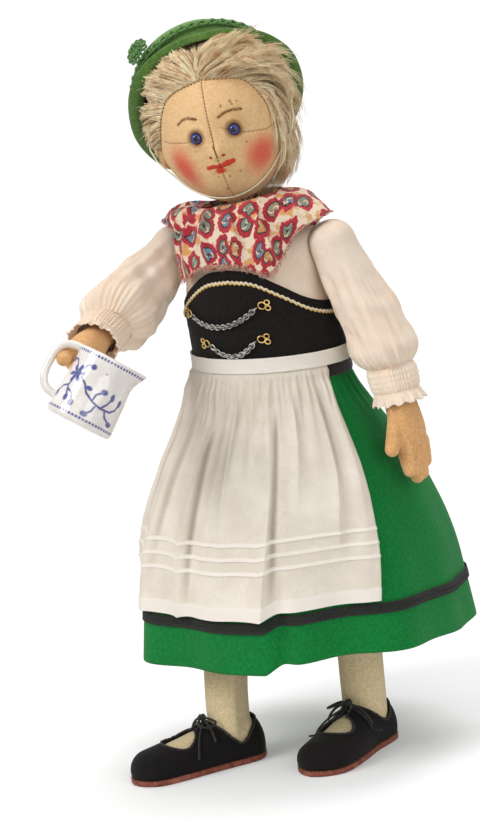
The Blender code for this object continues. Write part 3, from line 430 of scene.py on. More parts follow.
# %% [markdown]
# The head, arms, feet, hat and jug each have their own frame, as they were made and then fixed to the body at
# an angle. A frame here is a 4 x 4 matrix in millimetres; `world_points` leads a piece through it.
# %% Frames of the pieces
def frame_of(turned, spot):
    place = np.eye(4)
    place[:3, :3] = np.array(turned)
    place[:3, 3] = spot
    return place


def in_frame(points, place):
    """Points of the doll in the millimetres of a piece's own frame."""
    return (points - place[:3, 3]) @ place[:3, :3]


NECK = np.array((-3.0, -5.0, 374.0))
HEAD_LEAN, HEAD_NOD, HEAD_TURN = math.radians(8.3), math.radians(3.0), math.radians(15.0)
head_turned = Matrix.Rotation(-HEAD_LEAN, 3, "Y") @ Matrix.Rotation(HEAD_NOD, 3, "X")
head_turned = head_turned @ Matrix.Rotation(HEAD_TURN, 3, "Z")
HEAD = frame_of(head_turned, NECK)

SHOULDER_X = {LEFT: 47.5, RIGHT: -48.5}
SHOULDER_AXIS = Vector((0.972, -0.19, 0.14))
SHOULDER_HEIGHT = 340.0
ARM_SWING = {LEFT: math.radians(-2.0), RIGHT: math.radians(61.0)}
HIP_X, HIP_HEIGHT = {LEFT: 28.0, RIGHT: -22.0}, 207.0
HEEL = {LEFT: (50.0, 21.0, 0.0), RIGHT: (-20.5, -28.0, 0.0)}
TOE_WAY = {LEFT: Vector((-0.14, -0.99, 0.0)), RIGHT: Vector((-0.60, -0.80, 0.0))}
UP = Vector((0.0, 0.0, 1.0))
ARM, LEG, FOOT = {}, {}, {}
for side in SIDES:
    out = Vector((side * SHOULDER_AXIS.x, SHOULDER_AXIS.y, SHOULDER_AXIS.z)).normalized()
    across = out * side
    down = (out * out.dot(UP) - UP).normalized()
    hanging = Matrix((across, down.cross(across), down)).transposed()
    swung = hanging @ Matrix.Rotation(-ARM_SWING[side], 3, "X")
    ARM[side] = frame_of(swung, (SHOULDER_X[side], 0.0, SHOULDER_HEIGHT))
    LEG[side] = frame_of(Matrix.Rotation(math.pi, 3, "X"), (HIP_X[side], 0.0, HIP_HEIGHT))
    ahead = TOE_WAY[side].normalized()
    FOOT[side] = frame_of(Matrix((ahead.cross(UP), ahead, UP)).transposed(), HEEL[side])
print("frames: head, 2 arms, 2 legs, 2 feet")

# %% [markdown]
# Stitches, chain links, fringe and braid are one small shape set out many times. A node tree does that: it
# puts an item on every point of a bare mesh, turned by the point's own attribute, wobbles it a little by a
# fixed seed, and makes it real. A second tree draws a tapered thread along every chain of edges: hair, cords
# and bindings.
# %% Node trees for what repeats
class Tree:
    """A geometry node tree with named inputs, built node by node."""

    def __init__(self, name, **inputs):
        self.group = bpy.data.node_groups.new(name, "GeometryNodeTree")
        face = self.group.interface
        face.new_socket("Geometry", in_out="INPUT", socket_type="NodeSocketGeometry")
        self.identifiers = {}
        for label, kind in inputs.items():
            made = face.new_socket(label, in_out="INPUT", socket_type="NodeSocket" + kind)
            self.identifiers[label] = made.identifier
        face.new_socket("Geometry", in_out="OUTPUT", socket_type="NodeSocketGeometry")
        self.given = self.group.nodes.new("NodeGroupInput").outputs
        self.result = self.group.nodes.new("NodeGroupOutput")

    def node(self, kind, sockets, out=0, **settings):
        """The output of a new node with its sockets and settings."""
        made = self.group.nodes.new(kind)
        for name, setting in settings.items():
            setattr(made, name, setting)
        return fill(self.group, made, sockets).outputs[out]

    def close(self, geometry):
        """End in real geometry with its finish."""
        real = self.node("GeometryNodeRealizeInstances", {"Geometry": geometry})
        dressed = self.node("GeometryNodeSetMaterial", {"Geometry": real, "Material": self.given["Finish"]})
        self.group.links.new(dressed, self.result.inputs[0])

    def run(self, name, mesh, **inputs):
        """A plain mesh made by the tree from a bare one."""
        piece = stood(name, mesh)
        step = piece.modifiers.new("nodes", "NODES")
        step.node_group = self.group
        for label, item in inputs.items():
            step[self.identifiers[label]] = item
        return applied(piece)


set_out = Tree("set_out", Item="Object", Size="Float", Wobble="Float", Seed="Int", Finish="Material")
given = set_out.given
turn_of = set_out.node("GeometryNodeInputNamedAttribute", {"Name": "turn"}, data_type="FLOAT_VECTOR")
chance = set_out.node("FunctionNodeRandomValue", {"Seed": given["Seed"]}, data_type="FLOAT_VECTOR")
spread = set_out.node("ShaderNodeVectorMath", {0: chance, 1: (0.5, 0.5, 0.5)}, operation="SUBTRACT")
shake = set_out.node("ShaderNodeVectorMath", {0: spread, "Scale": given["Wobble"]}, operation="SCALE")
turned, shaken = (set_out.node("FunctionNodeEulerToRotation", {0: angles}) for angles in (turn_of, shake))
both = set_out.node("FunctionNodeRotateRotation", {0: turned, 1: shaken}, rotation_space="LOCAL")
shape = set_out.node("GeometryNodeObjectInfo", {"Object": given["Item"]}, "Geometry")
points = set_out.node("GeometryNodeMeshToPoints", {"Mesh": given["Geometry"]})
laid = {"Points": points, "Instance": shape, "Rotation": both, "Scale": given["Size"]}
set_out.close(set_out.node("GeometryNodeInstanceOnPoints", laid))

thread_along = Tree("thread_along", Radius="Float", Tip="Float", Sides="Int", Finish="Material")
given = thread_along.given
line = thread_along.node("GeometryNodeMeshToCurve", {"Mesh": given["Geometry"]})
along = thread_along.node("GeometryNodeSplineParameter", {}, "Factor")
width = thread_along.node("GeometryNodeInputNamedAttribute", {"Name": "width"}, data_type="FLOAT")
thin = thread_along.node("ShaderNodeMapRange", {"Value": along, "To Min": 1.0, "To Max": given["Tip"]})
part = thread_along.node("ShaderNodeMath", {0: thin, 1: width}, operation="MULTIPLY")
full = thread_along.node("ShaderNodeMath", {0: part, 1: given["Radius"]}, operation="MULTIPLY")
ring = thread_along.node("GeometryNodeCurvePrimitiveCircle", {"Resolution": given["Sides"], "Radius": 1.0})
swept = {"Curve": line, "Profile Curve": ring, "Fill Caps": True, "Scale": full}
thread_along.close(thread_along.node("GeometryNodeCurveToMesh", swept))


def bare_mesh(name, spots, edges=(), **attributes):
    """Loose points with attributes, as food for a node tree."""
    mesh = bpy.data.meshes.new(name)
    mesh.from_pydata(np.asarray(spots).tolist(), list(edges), [])
    for label, numbers in attributes.items():
        numbers = np.asarray(numbers, np.float32)
        kind, field = ("FLOAT", "value") if numbers.ndim == 1 else ("FLOAT_VECTOR", "vector")
        mesh.attributes.new(label, kind, "POINT").data.foreach_set(field, numbers.ravel())
    return mesh


def repeated(name, item, spots, ways, outs, finish, place=None, size=1.0, wobble=0.0, seed=1, alternate=0.0):
    """The item set out on spots: its X along each way, its Z outwards; every other one turned about X."""
    turn3 = np.eye(3) if place is None else place[:3, :3]
    turns = []
    for index, (way, out) in enumerate(zip(np.asarray(ways) @ turn3.T, np.asarray(outs) @ turn3.T)):
        x = Vector(way).normalized()
        z = Vector(out)
        z = (z - x * z.dot(x)).normalized()
        turned = Matrix((x, z.cross(x), z)).transposed()
        if index % 2:
            turned = turned @ Matrix.Rotation(alternate, 3, "X")
        turns.append(turned.to_euler())
    mesh = bare_mesh(name, world_points(spots, place), turn=turns)
    return set_out.run(name, mesh, Item=item, Size=size * MM, Wobble=wobble, Seed=seed, Finish=finish)


def threads(name, lines, finish, place=None, radius=0.5, tip=1.0, sides=6, widths=None, closed=False):
    """Round threads through rows of points, all of one thickness or with their own widths."""
    spots, edges, wide = [], [], []
    for index, line in enumerate(lines):
        base = len(spots)
        spots.extend(world_points(line, place))
        edges.extend((base + k, base + k + 1) for k in range(len(line) - 1))
        if closed:
            edges.append((base + len(line) - 1, base))
        wide.extend([1.0 if widths is None else widths[index]] * len(line))
    mesh = bare_mesh(name, spots, edges, width=wide)
    return thread_along.run(name, mesh, Radius=radius * MM, Tip=tip, Sides=sides, Finish=finish)


def item_mesh(name, bm):
    """A hidden shape that a node tree sets out, in units of its own."""
    mesh = bpy.data.meshes.new(name)
    bm.to_mesh(mesh)
    bm.free()
    return bpy.data.objects.new(name, mesh)


def even_steps(line, step, near=0.2):
    """Points along a line at even steps, with the way at each."""
    line = np.asarray(line, float)
    legs = np.linalg.norm(np.diff(line, axis=0), axis=1)
    reach = np.concatenate(([0.0], np.cumsum(legs)))
    count = max(int(round(reach[-1] / step)), 1)
    at = (np.arange(count) + 0.5) * reach[-1] / count
    spots, ahead, behind = (np.stack([np.interp(at + past, reach, line[:, k]) for k in range(3)], -1)
                            for past in (0.0, near, -near))
    return spots, ahead - behind


print("node trees:", [tree.group.name for tree in (set_out, thread_along)])

# %% [markdown]
# Wool felt is matted fibre: no weave, a soft broken surface, and a pale bloom where light grazes it. Three
# noises give the matting, the single fibres and the slow stains of age; sheen on the shader gives the bloom.
# %% Felt
def felt(name, colour, deep, pile=0.0005, stain=None, sheen=0.25):
    finish = Finish(name, Roughness=0.92, Sheen_Weight=sheen, Sheen_Roughness=0.5, Specular_IOR_Level=0.2)
    where = finish.place()
    matted = finish.noise(where, 520.0, 4.0, 0.65)
    fibres = finish.noise(where, 1900.0, 2.0, 0.6, stretch=(1.0, 1.0, 0.45))
    aged = finish.noise(where, 30.0, 4.0, 0.6)
    finish.paint((matted * 0.6 + fibres * 0.4).step(0.36, 0.66), colour, deep)
    if stain:
        finish.paint(aged.step(0.5, 0.78) * 0.6, stain)
    finish.bump(matted * 0.6 + fibres * 0.4, pile)
    return finish


def blot(u, v, spot, wide, tall, soft=0.3):
    """1 inside an oval on a map and 0 outside, with a soft edge."""
    x, y = (u - spot[0]) * (1.0 / wide), (v - spot[1]) * (1.0 / tall)
    return (x * x + y * y).root().step(1.0 + soft, 1.0 - soft)


def stroke(u, v, first, last, wide, soft=0.3):
    """1 along a line between two spots on a map."""
    run = (last[0] - first[0], last[1] - first[1])
    square = run[0] ** 2 + run[1] ** 2
    x, y = u - first[0], v - first[1]
    t = (x * (run[0] / square) + y * (run[1] / square)).most(0.0).least(1.0)
    x, y = x - t * run[0], y - t * run[1]
    return (x * x + y * y).root().step(wide + soft, max(wide - soft, 0.0))


def strokes(u, v, spots, wide, soft=0.3):
    """1 along a chain of spots on a map."""
    mask = stroke(u, v, spots[0], spots[1], wide, soft)
    for first, last in zip(spots[1:], spots[2:]):
        mask = mask.most(stroke(u, v, first, last, wide, soft))
    return mask


# %% [markdown]
# The head is felt pulled over a stuffed ball and sewn: one seam down the middle of the face, a dart out from
# each eye, a small pinched nose. The skin carries a map whose first number runs round the head from the seam
# and whose second is the height, so the painted brows, cheeks and lips are set down by their places in
# millimetres.
# %% Head
HEAD_HALF, HEAD_MIDDLE = np.array((41.0, 43.0, 49.0)), 50.0
EYE_X = {LEFT: 15.0, RIGHT: -10.4}
EYE_HEIGHT, EYE_RADIUS = 50.0, 4.2
SEAM_DARTS = {"left": [(7.0, 53.3), (17.0, 48.0), (22.0, 46.2), (37.0, 44.0), (46.0, 46.2)],
              "right": [(-10.0, 50.0), (-16.0, 48.6), (-34.0, 50.0), (-44.0, 52.0)]}


def on_head(way, off=0.0):
    """Points off the head's skin, some way from its middle: full cheeks, a small nose and chin."""
    way = way / np.linalg.norm(way, axis=-1, keepdims=True)
    x, y, z = way[..., 0], way[..., 1], way[..., 2]
    cheek = 1.0 + 0.045 * bell(z, -0.28, 0.30)
    front = ease(-y, 0.0, 0.15)
    nose = bell(x, 0.0, 0.13) * bell(z, -0.26, 0.15) * front
    chin = bell(x, 0.0, 0.30) * bell(z, -0.72, 0.20) * front
    return np.stack((
        x * (HEAD_HALF[0] * cheek + off),
        y * (HEAD_HALF[1] + off) - 4.0 * nose - 3.0 * chin,
        z * (HEAD_HALF[2] + off) + HEAD_MIDDLE,
    ), -1)


def way_round(around, up):
    """The way from the head's middle at an angle from the face towards the left, and an angle up."""
    return np.stack((np.cos(up) * np.sin(around), -np.cos(up) * np.cos(around), np.sin(up)), -1)


def line_away(u, v, spots):
    """Distance on a map from a chain of spots."""
    away = np.full(np.shape(u), 1e9)
    for (u0, v0), (u1, v1) in zip(spots, spots[1:]):
        square = (u1 - u0) ** 2 + (v1 - v0) ** 2
        t = np.clip(((u - u0) * (u1 - u0) + (v - v0) * (v1 - v0)) / square, 0.0, 1.0)
        away = np.minimum(away, np.hypot(u - u0 - t * (u1 - u0), v - v0 - t * (v1 - v0)))
    return away


around, up = grid(260, 190, (-math.pi, math.pi), (-math.pi / 2, math.pi / 2))
head_points = on_head(way_round(around, up))
head_u, head_v = around * HEAD_HALF[0], head_points[..., 2]
relief = 0.35 * ripple(head_u, head_v, 3, 26.0)
relief -= 0.55 * bell(head_u, 0.0, 0.9) * ease(head_v, 2.0, 8.0)
relief += 0.3 * bell(np.abs(head_u), 2.2, 1.6) * ease(head_v, 2.0, 8.0)
for spots in SEAM_DARTS.values():
    relief -= 0.4 * bell(line_away(head_u, head_v, spots), 0.0, 0.8)
for side in SIDES:
    eye_away = np.hypot(head_u - EYE_X[side], head_v - EYE_HEIGHT)
    relief += 0.9 * bell(eye_away, 6.6, 2.2) - 1.8 * bell(eye_away, 0.0, 4.6)
    relief -= 0.5 * bell(np.hypot(head_u - side * 4.3, head_v - 35.6), 0.0, 1.4)
lips = np.clip(1.0 - (head_u / 9.6) ** 2, 0.0, 1.0)
relief += 0.9 * lips * (bell(head_v, 30.2, 1.5) + bell(head_v, 26.6, 1.5))
outward = way_round(around, up)
head_points = head_points + outward * relief[..., None]
head_points[..., 2] = np.maximum(head_points[..., 2], 0.4)

face_felt = felt("face_felt", "f4cd9a", "e2b985", stain="cda56c", sheen=0.12)
u, v = face_felt.chart()
where = face_felt.place()
grain = face_felt.noise(where, 700.0, 3.0, 0.6)
smudge = face_felt.noise(where, 60.0, 3.0, 0.6)
face_felt.paint(blot(u, v, (14.0, 56.0), 13.0, 9.0, 0.7) * smudge * 0.55, "a97d4d")
face_felt.paint(blot(u, v, (4.0, 18.0), 14.0, 9.0, 0.8) * smudge * 0.5, "b08a55")
for spot, wide, tall in (((31.0, 30.0), 11.0, 10.5), ((-28.0, 32.0), 9.0, 13.0)):
    face_felt.paint(blot(u, v, spot, wide, tall, 0.75) * (grain * 0.5 + 0.68), "e2604a")
for side in SIDES:
    face_felt.paint(blot(u, v, (EYE_X[side], EYE_HEIGHT), 5.8, 6.0, 0.35) * 0.75, "8a5a30")
BROWS = [[(-22.5, 61.2), (-18.0, 63.6), (-14.0, 63.9), (-8.0, 62.2)],
         [(7.0, 60.0), (12.0, 62.0), (17.0, 62.4), (23.5, 61.4)]]
for spots in BROWS:
    face_felt.paint(strokes(u, v, spots, 0.95, 0.5) * grain.step(0.25, 0.5), "7d5330")
MARKS = [((10.5, 66.5), 0.9), ((17.8, 68.0), 1.0), ((18.4, 66.0), 0.8), ((22.0, 67.0), 0.6),
         ((20.5, 40.0), 0.6)]
for spot, wide in MARKS:
    face_felt.paint(blot(u, v, spot, wide, wide * 1.2, 0.5) * 0.75, "8c6239")
for spot, wide in (((-4.0, 22.0), 0.8), ((4.6, 21.0), 0.9), ((13.0, 22.5), 0.9), ((-1.0, 13.0), 1.2)):
    face_felt.paint(blot(u, v, spot, wide, wide, 0.5) * 0.6, "8c6239")
gap = (v * (math.tau / 2.2)).wave().step(-0.4, 0.5)
thread = stroke(u, v, (0.0, 90.0), (0.0, 4.0), 0.42, 0.3) * (gap * 0.65 + 0.35)
for spots in SEAM_DARTS.values():
    dash = ((u + v) * (math.tau / 2.4)).wave().step(-0.2, 0.5)
    thread = thread.most(strokes(u, v, spots, 0.38, 0.3) * (dash * 0.5 + 0.28))
face_felt.paint(thread, "6e4c2b")
face_felt.paint(stroke(u, v, (-0.6, 43.0), (0.6, 35.5), 0.5, 0.4) * 0.8, "5a3a20")
for side in SIDES:
    face_felt.paint(blot(u, v, (side * 4.3, 35.8), 1.25, 0.95, 0.35), "b5382e")
uneven_u, uneven_v = u + grain * 1.6 - 0.8, v + smudge * 1.2 - 0.6
bow = strokes(uneven_u, uneven_v, [(-9.0, 29.2), (-4.4, 30.0), (-0.6, 29.2)], 1.45, 0.3)
bow = bow.most(strokes(uneven_u, uneven_v, [(0.4, 29.4), (5.4, 30.5), (9.2, 30.4)], 1.7, 0.3))
bow = bow.most(blot(uneven_u, uneven_v, (5.6, 30.2), 3.1, 2.1, 0.35))
bow = bow.most(blot(uneven_u, uneven_v, (-0.8, 26.4), 3.9, 2.3, 0.4))
face_felt.paint(bow * (grain * 0.25 + 0.8).least(1.0), "d32a20")
parting = strokes(u, v, [(-7.0, 28.8), (-0.4, 28.2), (7.0, 29.3)], 0.3, 0.35)
face_felt.paint(parting * 0.6, "8a1a14")
head = skin("felt_head", head_points, face_felt.material, (head_u, head_v), HEAD)
wear(head, "head", "flesh_felt", "head")
print("head skin:", len(head.data.polygons), "faces")

# %% [markdown]
# The eyes are glass balls with a black pupil, a blue iris and a dark edge. A map that runs out from the
# middle of the eye paints all three, and the smooth glass gives the bright point of light. The ears are small
# stuffed ovals with a hollow pressed in.
# %% Eyes and ears
glass = Finish("eye_glass", Roughness=0.04, Specular_IOR_Level=0.45)
reach, _ = glass.chart()
glass.paint(glass.noise(glass.place(), 1400.0, 3.0, 0.6), "3b4496", "1b2170")
glass.paint(reach.step(3.1, 3.9), "11153f")
glass.paint(reach.step(2.05, 1.75), "020203")
ear_felt = felt("ear_felt", "e0b98a", "cda271", stain="c98c66", sheen=0.12)
for side, word in SIDES.items():
    spot = on_head(np.array((EYE_X[side] / HEAD_HALF[0], -0.93, 0.0)), -2.2)
    turn_about, open_up = grid(48, 28, (0.0, math.tau), (0.0, math.pi))
    ball = np.stack((np.sin(open_up) * np.cos(turn_about), -np.cos(open_up),
                     np.sin(open_up) * np.sin(turn_about)), -1)
    eye_ball = skin(word + "_glass_eye", spot + ball * EYE_RADIUS, glass.material,
                    (open_up * EYE_RADIUS, turn_about), HEAD, flip=True)
    wear(eye_ball, "head", "eye_glass", word + "_eye")
    turn_about, rise = grid(56, 34, (0.0, math.tau), (-math.pi / 2, math.pi / 2))
    half = np.stack((
        3.4 * np.cos(rise) * np.cos(turn_about) * side,
        6.3 * np.cos(rise) * np.sin(turn_about),
        8.8 * np.sin(rise),
    ), -1)
    hollow = bell(half[..., 1], 0.5, 2.6) * bell(half[..., 2], 1.2, 4.2) * (np.cos(turn_about) > 0) * 1.5
    half[..., 0] -= side * hollow
    lean = -side * 0.35
    turned = np.array(((math.cos(lean), -math.sin(lean), 0), (math.sin(lean), math.cos(lean), 0), (0, 0, 1)))
    ear = skin(word + "_felt_ear", half @ turned.T + (side * 42.5, -3.5, 41.0), ear_felt.material, None, HEAD,
               flip=side == RIGHT)
    wear(ear, "head", "flesh_felt", word + "_ear")
print("eyes:", EYE_RADIUS * 2, "mm glass; ears: 2")

# %% [markdown]
# The hat is one piece of blocked wool felt: a round crown and a narrow brim whose edge is turned up. A
# profile is swept round the hat's own axis. Wear has bent it: the brim dips on one side and flares on
# another, and the crown leans over. A slow unevenness keeps the rest from looking turned on a lathe.
# %% Hat
HAT_AXIS = Vector((-0.23, 0.832, 0.505)).normalized()
hat_spot = Vector((3.5, 0.0, HEAD_MIDDLE + 2.4)) + HAT_AXIS * 25.6
hat_turned = UP.rotation_difference(HAT_AXIS).to_matrix()
HAT = HEAD @ frame_of(hat_turned, hat_spot)
CROWN_RADIUS, CROWN_HEIGHT, CROWN_SIDE, BRIM_RADIUS, FELT = 47.0, 33.0, 14.0, 58.6, 2.0
HAT_CORD_HEIGHT, ROUNDINGS = 12.6, 6
DIP_ANGLE, DIP_WIDE, DIP_DOWN, DIP_IN = math.radians(294.0), math.radians(44.0), 7.5, 4.0
FLARE_ANGLE, FLARE_WIDE, FLARE_OUT = math.radians(150.0), math.radians(32.0), 3.0
LEAN_ANGLE, LEAN_BASE, LEAN = math.radians(240.0), 2.4, 11.0


def near_angle(around, middle, wide):
    """One at an angle round the hat, falling off on both sides of it."""
    away = (around - middle + math.pi) % math.tau - math.pi
    return np.exp(-((away / wide) ** 2))


def crown_lean(height):
    """How far the crown is pushed over at a height, across the hat's axis."""
    lean = LEAN_BASE + LEAN * np.maximum(height - 5.0, 0.0) / 26.0
    return lean[..., None] * np.array((math.cos(LEAN_ANGLE), math.sin(LEAN_ANGLE), 0.0))


def bent_hat(radius, around, height):
    """Points of the turned hat once the brim is bent and the crown leans."""
    rim = np.clip((radius - CROWN_RADIUS - 1.4) / 8.0, 0.0, 1.0)
    dip = rim * near_angle(around, DIP_ANGLE, DIP_WIDE)
    wide = radius + rim * FLARE_OUT * near_angle(around, FLARE_ANGLE, FLARE_WIDE) - DIP_IN * dip
    points = np.stack((wide * np.cos(around), wide * np.sin(around), height - DIP_DOWN * dip), -1)
    return points + crown_lean(height) * (1.0 - rim)[..., None]


def dome(off):
    """The crown's profile from its top down to the side: radius, height."""
    bend = np.linspace(0.0, math.pi / 2, 26)
    return np.stack(((CROWN_RADIUS + off) * np.sin(bend),
                     CROWN_SIDE + (CROWN_HEIGHT - CROWN_SIDE + off) * np.cos(bend)), -1)


def along_profile(corners, count):
    """A polyline rounded and spread to even steps."""
    corners = np.array(corners, float)
    reach = np.concatenate(([0.0], np.cumsum(np.linalg.norm(np.diff(corners, axis=0), axis=1))))
    at = np.linspace(0.0, reach[-1], count)
    line = np.stack([np.interp(at, reach, corners[:, k]) for k in range(2)], -1)
    for _ in range(ROUNDINGS):
        line[1:-1] = (line[:-2] + 2.0 * line[1:-1] + line[2:]) / 4.0
    return line


brim = along_profile([
    (CROWN_RADIUS + FELT, CROWN_SIDE), (CROWN_RADIUS + FELT + 0.2, 4.6), (CROWN_RADIUS + FELT + 1.5, 3.0),
    (BRIM_RADIUS - 4.5, 3.8), (BRIM_RADIUS - 0.6, 7.0), (BRIM_RADIUS + 0.2, 7.6), (BRIM_RADIUS + 1.5, 6.9),
    (BRIM_RADIUS + 1.6, 5.6), (BRIM_RADIUS - 4.2, 1.4), (CROWN_RADIUS + 1.0, 0.6), (CROWN_RADIUS, 2.0),
    (CROWN_RADIUS, CROWN_SIDE),
], 64)
profile = np.concatenate((dome(FELT), brim[1:-1], dome(0.0)[::-1]))
profile[0, 0] = profile[-1, 0] = 0.0
turn_about, place_on = np.meshgrid(np.linspace(0.0, math.tau, 181), np.arange(len(profile)))
radius, height = profile[place_on, 0], profile[place_on, 1]
uneven = ripple(np.cos(turn_about) * 40.0, np.sin(turn_about) * 40.0 + height * 0.3, 11, 46.0, 2)
settled = ease(radius, 6.0, 30.0)
radius = radius + 0.6 * uneven * settled
height = height + 0.8 * uneven * ease(radius, 50.0, 58.0)
hat_points = bent_hat(radius, turn_about, height)
hat_felt = felt("hat_felt", "5f8739", "436429", pile=0.0009, stain="6f964a", sheen=0.25)
_, up_v = hat_felt.chart()
# Painted light and shade: the crown is painted lighter, and the underside of the brim and the inside of the
# hat darker.
hat_felt.paint(up_v.step(32.0, 22.0) * 0.6, "7ba552")
hat_felt.paint(up_v.step(58.0, 74.0) * 0.62, "32481e")
hat = skin("felt_hat", hat_points, hat_felt.material, (turn_about * 50.0, place_on * 1.0), HAT, flip=True)
wear(hat, "head", "hat_felt", "hat")
print("hat:", len(hat.data.polygons), "faces")

# %% [markdown]
# Round the foot of the crown runs a thick wool cord, sewn on in a zigzag, with a rosette of cord loops at one
# side. Both are threads along a path, so the thread tree draws them from a chain of points.
# %% Hat cord and rosette
cord_wool = mottled("cord_wool", "2b5424", "6a9c4a", 900.0, 3.0, 0.6, (0.35, 0.65), 0.0006, Roughness=0.9,
                    Sheen_Weight=0.3)
band_radius = CROWN_RADIUS + FELT + 2.6
lines = []
for swing, rise in ((0.0, -1.9), (0.0, 1.9), (1.0, 0.0)):
    steps = np.linspace(0.0, math.tau, 1201)[:-1]
    r = band_radius - 0.9 + swing * 0.9 + 0.1 * np.sin(steps * 90.0)
    up = HAT_CORD_HEIGHT + rise + swing * 1.7 * zigzag(steps * 46.0)
    line = np.stack((r * np.cos(steps), r * np.sin(steps), up), -1)
    lines.append(line + crown_lean(np.array(HAT_CORD_HEIGHT)))
hat_cord = threads("hat_zigzag_cord", lines, cord_wool, HAT, radius=1.05, sides=7, closed=True)
wear(hat_cord, "head", "hat_cord", "hat_cord")
ROSETTE_ANGLE = math.radians(240.0)
rosette_lines = []
for ring_number, (loops, long, lift) in enumerate(((12, 8.6, 0.8), (10, 6.2, 2.0), (7, 4.0, 3.0))):
    for k in range(loops):
        lie = math.tau * (k + 0.5 * ring_number) / loops
        t = np.linspace(-1.0, 1.0, 19)
        out_along = long * (1.0 - t * t)
        aside = 1.4 * np.sin(t * math.pi)
        puff = lift + 2.2 * (1.0 - t ** 4)
        across = out_along * math.cos(lie) - aside * math.sin(lie)
        upward = out_along * math.sin(lie) + aside * math.cos(lie)
        around = ROSETTE_ANGLE + across / band_radius
        r = CROWN_RADIUS + FELT + 3.4 + puff * 0.9 - 0.012 * np.maximum(upward, 0.0) ** 2
        high = 16.5 + upward * 0.75
        rosette_lines.append(np.stack((r * np.cos(around), r * np.sin(around), high), -1) + crown_lean(high))
rosette = threads("hat_rosette", rosette_lines, cord_wool, HAT, radius=0.75, sides=6)
wear(rosette, "head", "hat_cord")
print("rosette loops:", len(rosette_lines))

# %% [markdown]
# The wig is mohair sewn along the hairline and brushed: from the middle seam it sweeps up and out in short
# tufts on the right side, and over and down on the left. A few hundred guide strands follow a combing
# direction over the head; the rest follow their nearest guide and close in on it towards the tip, which makes
# the tufts. The thread tree then draws every strand as a thin tapered tube.
# %% Wig
WIG_GUIDES, WIG_STRANDS, STRAND_STEPS = 560, 12600, 8
UNDER_HAIRLINE = [(0, 44), (35, 50), (52, 57)]
HAIRLINE = {LEFT: UNDER_HAIRLINE + [(60, 73), (66, 92), (76, 104), (95, 112), (130, 118), (180, 125)],
            RIGHT: UNDER_HAIRLINE + [(60, 70), (66, 84), (76, 94), (95, 100), (130, 112), (180, 125)]}
STRAP_REACH, STRAP_POINTS = math.radians(104.0), 25
HEAD_SPOT = np.array((0.0, 0.0, HEAD_MIDDLE))
hat_axis = np.array(HAT_AXIS)
hat_middle = np.array(hat_spot)


def hairline(around):
    left, right = (eased(HAIRLINE[side], np.degrees(np.abs(around)))[..., 1] for side in (LEFT, RIGHT))
    return np.radians(np.where(around > 0.0, left, right))


def under_hat(points):
    """Height towards the hat's crown from its brim, and the way out from the leaning crown's middle."""
    away = points - hat_middle
    height = away @ hat_axis
    return height, away - height[..., None] * hat_axis - crown_lean(height) @ np.array(hat_turned).T


def sow(count, dice):
    """Roots over the scalp that the hat leaves open: angle round and angle down from the crown."""
    found = np.zeros((0, 2))
    while len(found) < count:
        around = dice.uniform(-math.pi, math.pi, count)
        line = hairline(around)
        down = np.arccos(1.0 - dice.uniform(0.0, 1.0, count) * (1.0 - np.cos(line)))
        height, _ = under_hat(on_head(way_round(around, math.pi / 2 - down), 2.0))
        fits = height < dice.uniform(2.0, 14.0, count)
        found = np.concatenate((found, np.stack((around, down), -1)[fits]))
    return found[:count]


def strap_way(bend):
    """The way from the head's middle to the chin strap, by the angle from under the chin."""
    way = np.stack((np.sin(bend), -0.55 * np.cos(bend * 0.86), -np.cos(bend)), -1)
    return way / np.linalg.norm(way, axis=-1, keepdims=True)


def combed(points):
    """Which way the hair is brushed at a place on the head."""
    x, y, z = points[:, 0], points[:, 1], points[:, 2]
    left = ease(x, -9.0, 3.0)[:, None]
    top = ease(z, 86.0, 101.0)[:, None]
    low = ease(-z, -80.0, -60.0)[:, None]
    right_way = (1 - top) * np.array((-0.75, 0.30, 0.42)) + top * np.array((-0.45, 0.70, 0.30))
    right_way = (1 - low) * right_way + low * np.array((-0.62, 0.50, -0.35))
    left_way = (1 - top) * np.array((0.92, 0.16, 0.10)) + top * np.array((0.80, 0.45, 0.10))
    left_way = (1 - low) * left_way + low * np.array((-0.08, 0.08, -1.0))
    back = ease(y, 10.0, 28.0)[:, None]
    way = left * left_way + (1 - left) * right_way
    behind = left * np.array((0.0, 0.22, -1.0)) + (1 - left) * np.array((0.3, 0.2, -0.8))
    return (1 - back) * way + back * behind


def in_hat(spot):
    """Strand points kept inside the hat's crown and, on the right and on top, off most of its brim."""
    height, flat = under_hat(spot)
    radius = np.linalg.norm(flat, axis=1)
    inside = height > np.where((spot[:, 0] < 4.0) | (spot[:, 2] > 78.0), -16.0, -2.0)
    dome = np.clip((height - CROWN_SIDE) / (CROWN_HEIGHT - CROWN_SIDE), 0.0, 1.0)
    wall = (CROWN_RADIUS - 2.0) * np.sqrt(1.0 - dome ** 2) - 0.3 * np.maximum(height, 0.0)
    wall = np.where(height < -2.0, CROWN_RADIUS + 5.0, wall)
    pull = np.where(inside, np.minimum(1.0, np.maximum(wall, 4.0) / np.maximum(radius, 1e-6)), 1.0)
    sunk = np.minimum(CROWN_HEIGHT - 8.0 - height, 0.0)
    return spot + flat * (pull - 1.0)[:, None] + sunk[:, None] * hat_axis


